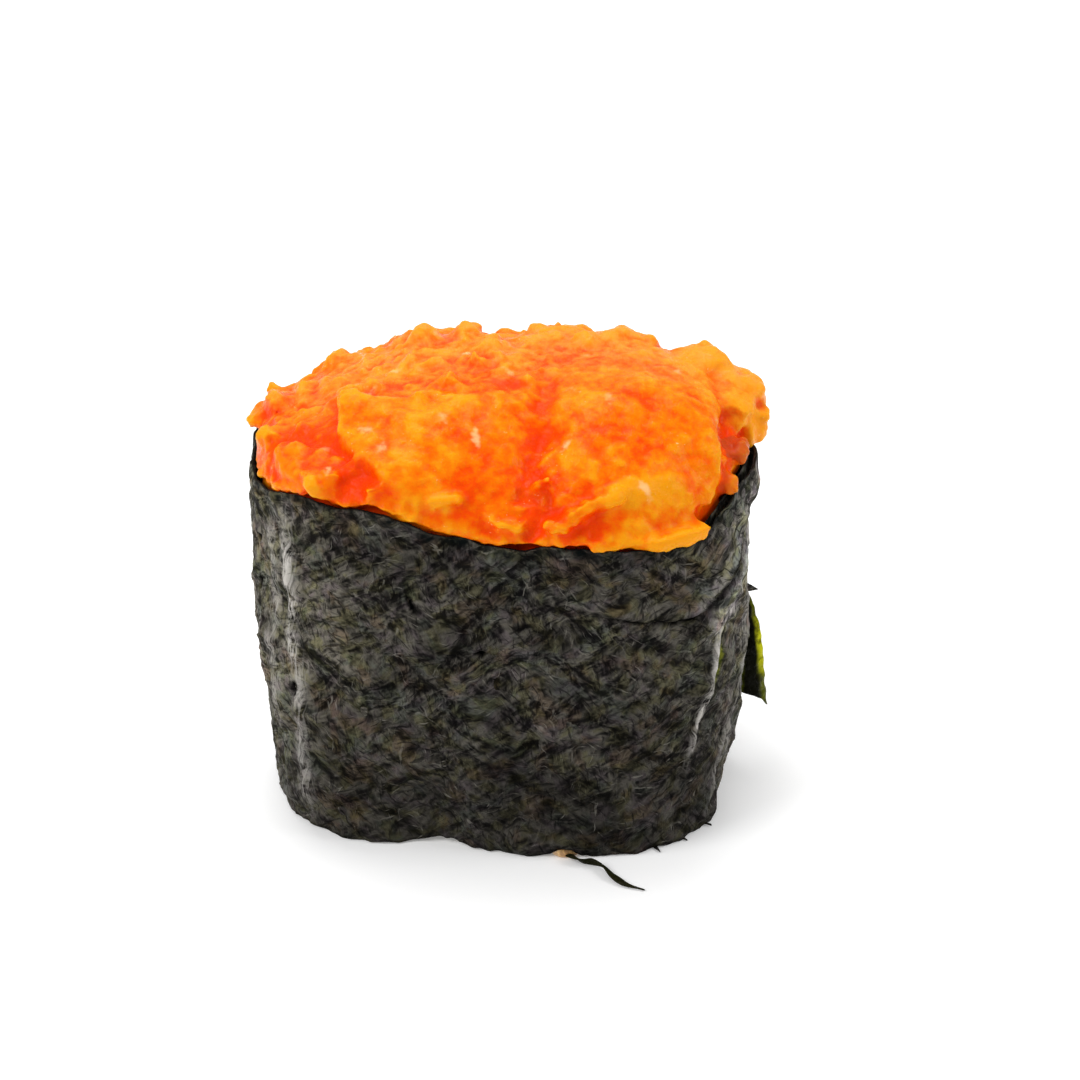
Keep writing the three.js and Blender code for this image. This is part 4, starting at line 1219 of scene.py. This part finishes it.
def nori_material(name, olive=0.0):
    n = NoriNodes(name)
    pit_shade = n.attribute("pit_shade")
    # Painted glints on some of the fibres.
    glint = n.product(n.ramp(n.fibres, 0.55, 0.95), n.ramp(n.noise(n.sheet, 2.2), 0.5, 0.62, 0.0, 0.4))
    # Painted highlight on the corner ridges, streaked upright.
    upright = n.streaks(n.warped, 84, 3.0, 0.24, 5)
    ridge_light_share = n.math("ADD", n.ramp(n.body, -0.8, 0.9, 0.1, 0.6), n.ramp(upright, 0.44, 0.62, -0.1, 0.7),
                    clamp=True)
    ridge_light_share = n.math("MULTIPLY", n.attribute("ridge_light"), ridge_light_share, clamp=True)
    rim_shadow = n.product(n.attribute("rim_shadow"), n.ramp(n.noise(n.sheet, 1.6, 3), 0.38, 0.6, 0.25, 1))
    moss = n.mix(n.ramp(n.grain, 0.4, 0.6), rgb(0.03, 0.04, 0.002), rgb(0.16, 0.17, 0.02))
    colour = n.coated(
        nori_base(n),
        (glint, rgb(0.2, 0.19, 0.165)),
        (n.product(n.cracks, 0.7), rgb(0.003, 0.003, 0.003)),
        (ridge_light_share, rgb(0.5, 0.475, 0.44)),
        (rim_shadow, rgb(0.0025, 0.004, 0.004)),
        (pit_shade, rgb(0.001, 0.001, 0.001)),
        (n.attribute("moss"), moss),
    )
    if olive:
        colour = n.mix(olive, colour, rgb(0.012, 0.013, 0.003))
    whole = n.math("SUBTRACT", 1.0, pit_shade, clamp=True)
    n.set({
        "Base Color": colour,
        "Roughness": n.ramp(n.body, -0.6, 1.0, 0.6, 0.38),
        "Specular IOR Level": n.product(n.ramp(n.body, -0.6, 0.9, 0.008, 0.036), whole),
    })
    raised = n.total(n.product(n.fibres, 0.8), n.product(n.grain, 0.4), n.flow, n.product(n.creases, 1.6))
    n.bump(n.math("SUBTRACT", raised, n.product(n.cracks, 0.8)), 0.12, 1.0)
    return n


def flap_material():
    """The flap is lit through: black down its middle, green along its edge."""
    n = nori_material("nori_flap", 0.2)
    edge, low = n.attribute("edge"), n.attribute("low")
    speckle = n.noise(n.sheet, 0.9, 4, 0.6)
    root = n.product(n.ramp(edge, 0.42, 0.3), n.ramp(speckle, 0.35, 0.6, 0.3, 1))
    rim = n.product(n.ramp(edge, 0.7, 0.9), n.ramp(speckle, 0.33, 0.55, 0.3, 1))
    glow = n.product(rim, n.ramp(low, 0.2, 0.45), n.ramp(low, 0.82, 0.62))
    n.set({"Base Color": n.coated(
        n.shader.inputs["Base Color"].links[0].from_socket,
        (n.ramp(edge, 0.88, 0.7, 0, 0.94), rgb(0.003, 0.003, 0.0012)),
        (root, rgb(0.085, 0.1, 0.004)),
        (rim, rgb(0.09, 0.1, 0.006)),
        (glow, rgb(0.5, 0.5, 0.012)),
    )})
    return n


# The mash's colours, from deep red to yellow. The hollows are red and the crests yellow partly through
# painted shade and light.
MASH_COLOURS = [
    (0.0, rgb(0.78, 0.042, 0.0)),
    (0.3, rgb(0.8, 0.07, 0.0)),
    (0.5, rgb(0.81, 0.125, 0.0)),
    (0.75, rgb(0.81, 0.19, 0.001)),
    (1.0, rgb(0.81, 0.3, 0.005)),
]
# How much each value of the mesh moves the mash towards yellow. Raised, broad and form are painted light on
# crests and painted shade in hollows, and rear_sheen is a painted sheen.
MASH_SHARES = {"raised": 0.11, "broad": 0.38, "form": 0.35, "shade": 0.45, "tone": 0.28, "rear_sheen": 0.45}


def salmon_material():
    n = Nodes("salmon")
    place = n.add("ShaderNodeTexCoord").outputs["Object"]
    drift = n.noise(place, 4.5 * MM, 3)
    grain = n.noise(place, 0.9 * MM, 3, 0.6)
    fine = n.noise(place, 0.35 * MM, 2, 0.6)
    height = n.total(
        n.ramp(drift, 0.3, 0.7, -0.4, 0.4),
        n.ramp(grain, 0.3, 0.7, -0.25, 0.25),
        *(n.product(n.attribute(name), share) for name, share in MASH_SHARES.items()),
    )
    tones = n.add("ShaderNodeValToRGB", {"Fac": n.ramp(height, -1.2, 1.2)})
    ramp = tones.color_ramp
    while len(ramp.elements) < len(MASH_COLOURS):
        ramp.elements.new(0.5)
    for element, (position, colour) in zip(ramp.elements, MASH_COLOURS):
        element.position = position
        element.color = colour
    # Pale flecks, some of them bits of mayonnaise and some painted glints.
    fleck_glints = n.product(n.ramp(fine, 0.66, 0.76), n.ramp(drift, 0.54, 0.62))
    fleck_glints = n.math("MAXIMUM", fleck_glints, n.product(n.attribute("fleck_and_glint"), n.ramp(grain, 0.3, 0.55)))
    n.set({
        "Base Color": n.coated(
            tones.outputs[0],
            (n.ramp(n.attribute("browned"), 0.5, 0.9, 0, 0.7), rgb(0.42, 0.06, 0.012)),
            (n.product(n.attribute("rear_sheen"), n.ramp(grain, 0.3, 0.7, 0.05, 0.4)), rgb(0.82, 0.3, 0.07)),
            (n.product(fleck_glints, 0.7), rgb(0.9, 0.56, 0.27)),
        ),
        "Roughness": n.ramp(grain, 0.3, 0.7, 0.36, 0.2),
        "Subsurface Weight": 0.25,
        "Subsurface Radius": (1.0, 0.3, 0.08),
        "Subsurface Scale": 1.2 * MM,
        "Specular IOR Level": 0.06,
    })
    n.bump(n.total(n.product(grain, 0.7), n.product(fine, 0.35)), 0.25, 0.7)
    return n


def rice_material():
    n = Nodes("rice")
    place = n.add("ShaderNodeTexCoord").outputs["Object"]
    cloud = n.noise(place, 1.6 * MM, 3)
    grain = n.noise(place, 0.4 * MM)
    peek_tan = n.mix(n.ramp(grain, 0.4, 0.6), rgb(0.34, 0.15, 0.03), rgb(0.62, 0.34, 0.09))
    colour = n.mix(n.ramp(cloud, 0.35, 0.7), rgb(0.72, 0.66, 0.52), rgb(0.86, 0.83, 0.74))
    n.set({
        "Base Color": n.mix(n.attribute("peek_tan"), colour, peek_tan),
        "Roughness": n.ramp(grain, 0.3, 0.7, 0.45, 0.3),
        "Subsurface Weight": 0.3,
        "Subsurface Radius": (1.0, 0.8, 0.6),
        "Subsurface Scale": 1.0 * MM,
    })
    n.bump(grain, 0.05, 0.6)
    return n


def floor_material():
    n = Nodes("floor")
    n.set({
        "Base Color": rgb(0.95, 0.95, 0.95),
        "Roughness": 0.7,
        "Emission Color": rgb(1, 1, 1),
        "Emission Strength": 0.16,
    })
    return n


# ---- Studio ----
FLOOR_HALF = 900
FLOOR_HEIGHT = -0.02
WORLD_STRENGTH = 0.5
# The lamps, all turned to the middle of the sushi: name, place, diameter, and power in watts.
LAMPS = [
    ("left", (-260, -160, 260), 180, 0.7),
    ("right", (300, -60, 200), 160, 0.4),
    ("above", (-30, 110, 360), 260, 0.8),
]
LAMP_TARGET = (0, 0, 25)
CAMERA_TARGET = (3.5, 0, 25.63)
CAMERA_DISTANCE = 360
CAMERA_ELEVATION = np.radians(30)
CAMERA_LENS = 126.72


def make_floor():
    corners = [(x * FLOOR_HALF, y * FLOOR_HALF, FLOOR_HEIGHT)
               for x, y in ((-1, -1), (1, -1), (1, 1), (-1, 1))]
    piece = new_mesh("floor", corners, [(0, 1, 2, 3)])
    piece.data.materials.append(floor_material().material)


def add_lamp(name, place, size, watts):
    light = bpy.data.lights.new(name, "AREA")
    light.shape = "DISK"
    light.size = size * MM
    light.energy = watts
    lamp = bpy.data.objects.new(name, light)
    lamp.location = Vector(place) * MM
    lamp.rotation_euler = (Vector(LAMP_TARGET) - Vector(place)).to_track_quat("-Z", "Y").to_euler()
    bpy.context.scene.collection.objects.link(lamp)


def add_camera():
    camera = bpy.data.objects.new("camera", bpy.data.cameras.new("camera"))
    away = Vector((0, -np.cos(CAMERA_ELEVATION), np.sin(CAMERA_ELEVATION)))
    camera.location = (Vector(CAMERA_TARGET) + CAMERA_DISTANCE * away) * MM
    camera.rotation_euler = (np.pi / 2 - CAMERA_ELEVATION, 0, 0)
    camera.data.sensor_width = 36
    camera.data.lens = CAMERA_LENS
    bpy.context.scene.collection.objects.link(camera)
    bpy.context.scene.camera = camera


def make_studio():
    bpy.context.scene.view_settings.view_transform = "Standard"
    world = bpy.data.worlds.new("studio")
    world.use_nodes = True
    background = world.node_tree.nodes["Background"]
    background.inputs["Color"].default_value = rgb(1, 1, 1)
    background.inputs["Strength"].default_value = WORLD_STRENGTH
    bpy.context.scene.world = world
    for lamp in LAMPS:
        add_lamp(*lamp)
    add_camera()


# ---- Assembly ----
def dress(piece, nodes, node):
    """Gives a piece its material, and puts it in place of a node of the solids."""
    piece.data.materials.clear()
    piece.data.materials.append(nodes.material)
    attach(piece, "root")
    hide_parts(node)


nori = nori_material("nori")
dress(make_nori(), nori, "nori")
dress(make_flap(), flap_material(), "nori")
dress(make_fringe(), nori, "nori")
dress(make_sliver(), nori_material("nori_sliver", 0.8), "nori_shred")
dress(make_rice(), rice_material(), "rice")
dress(make_salmon(), salmon_material(), "salmon_topping")
make_floor()
make_studio()
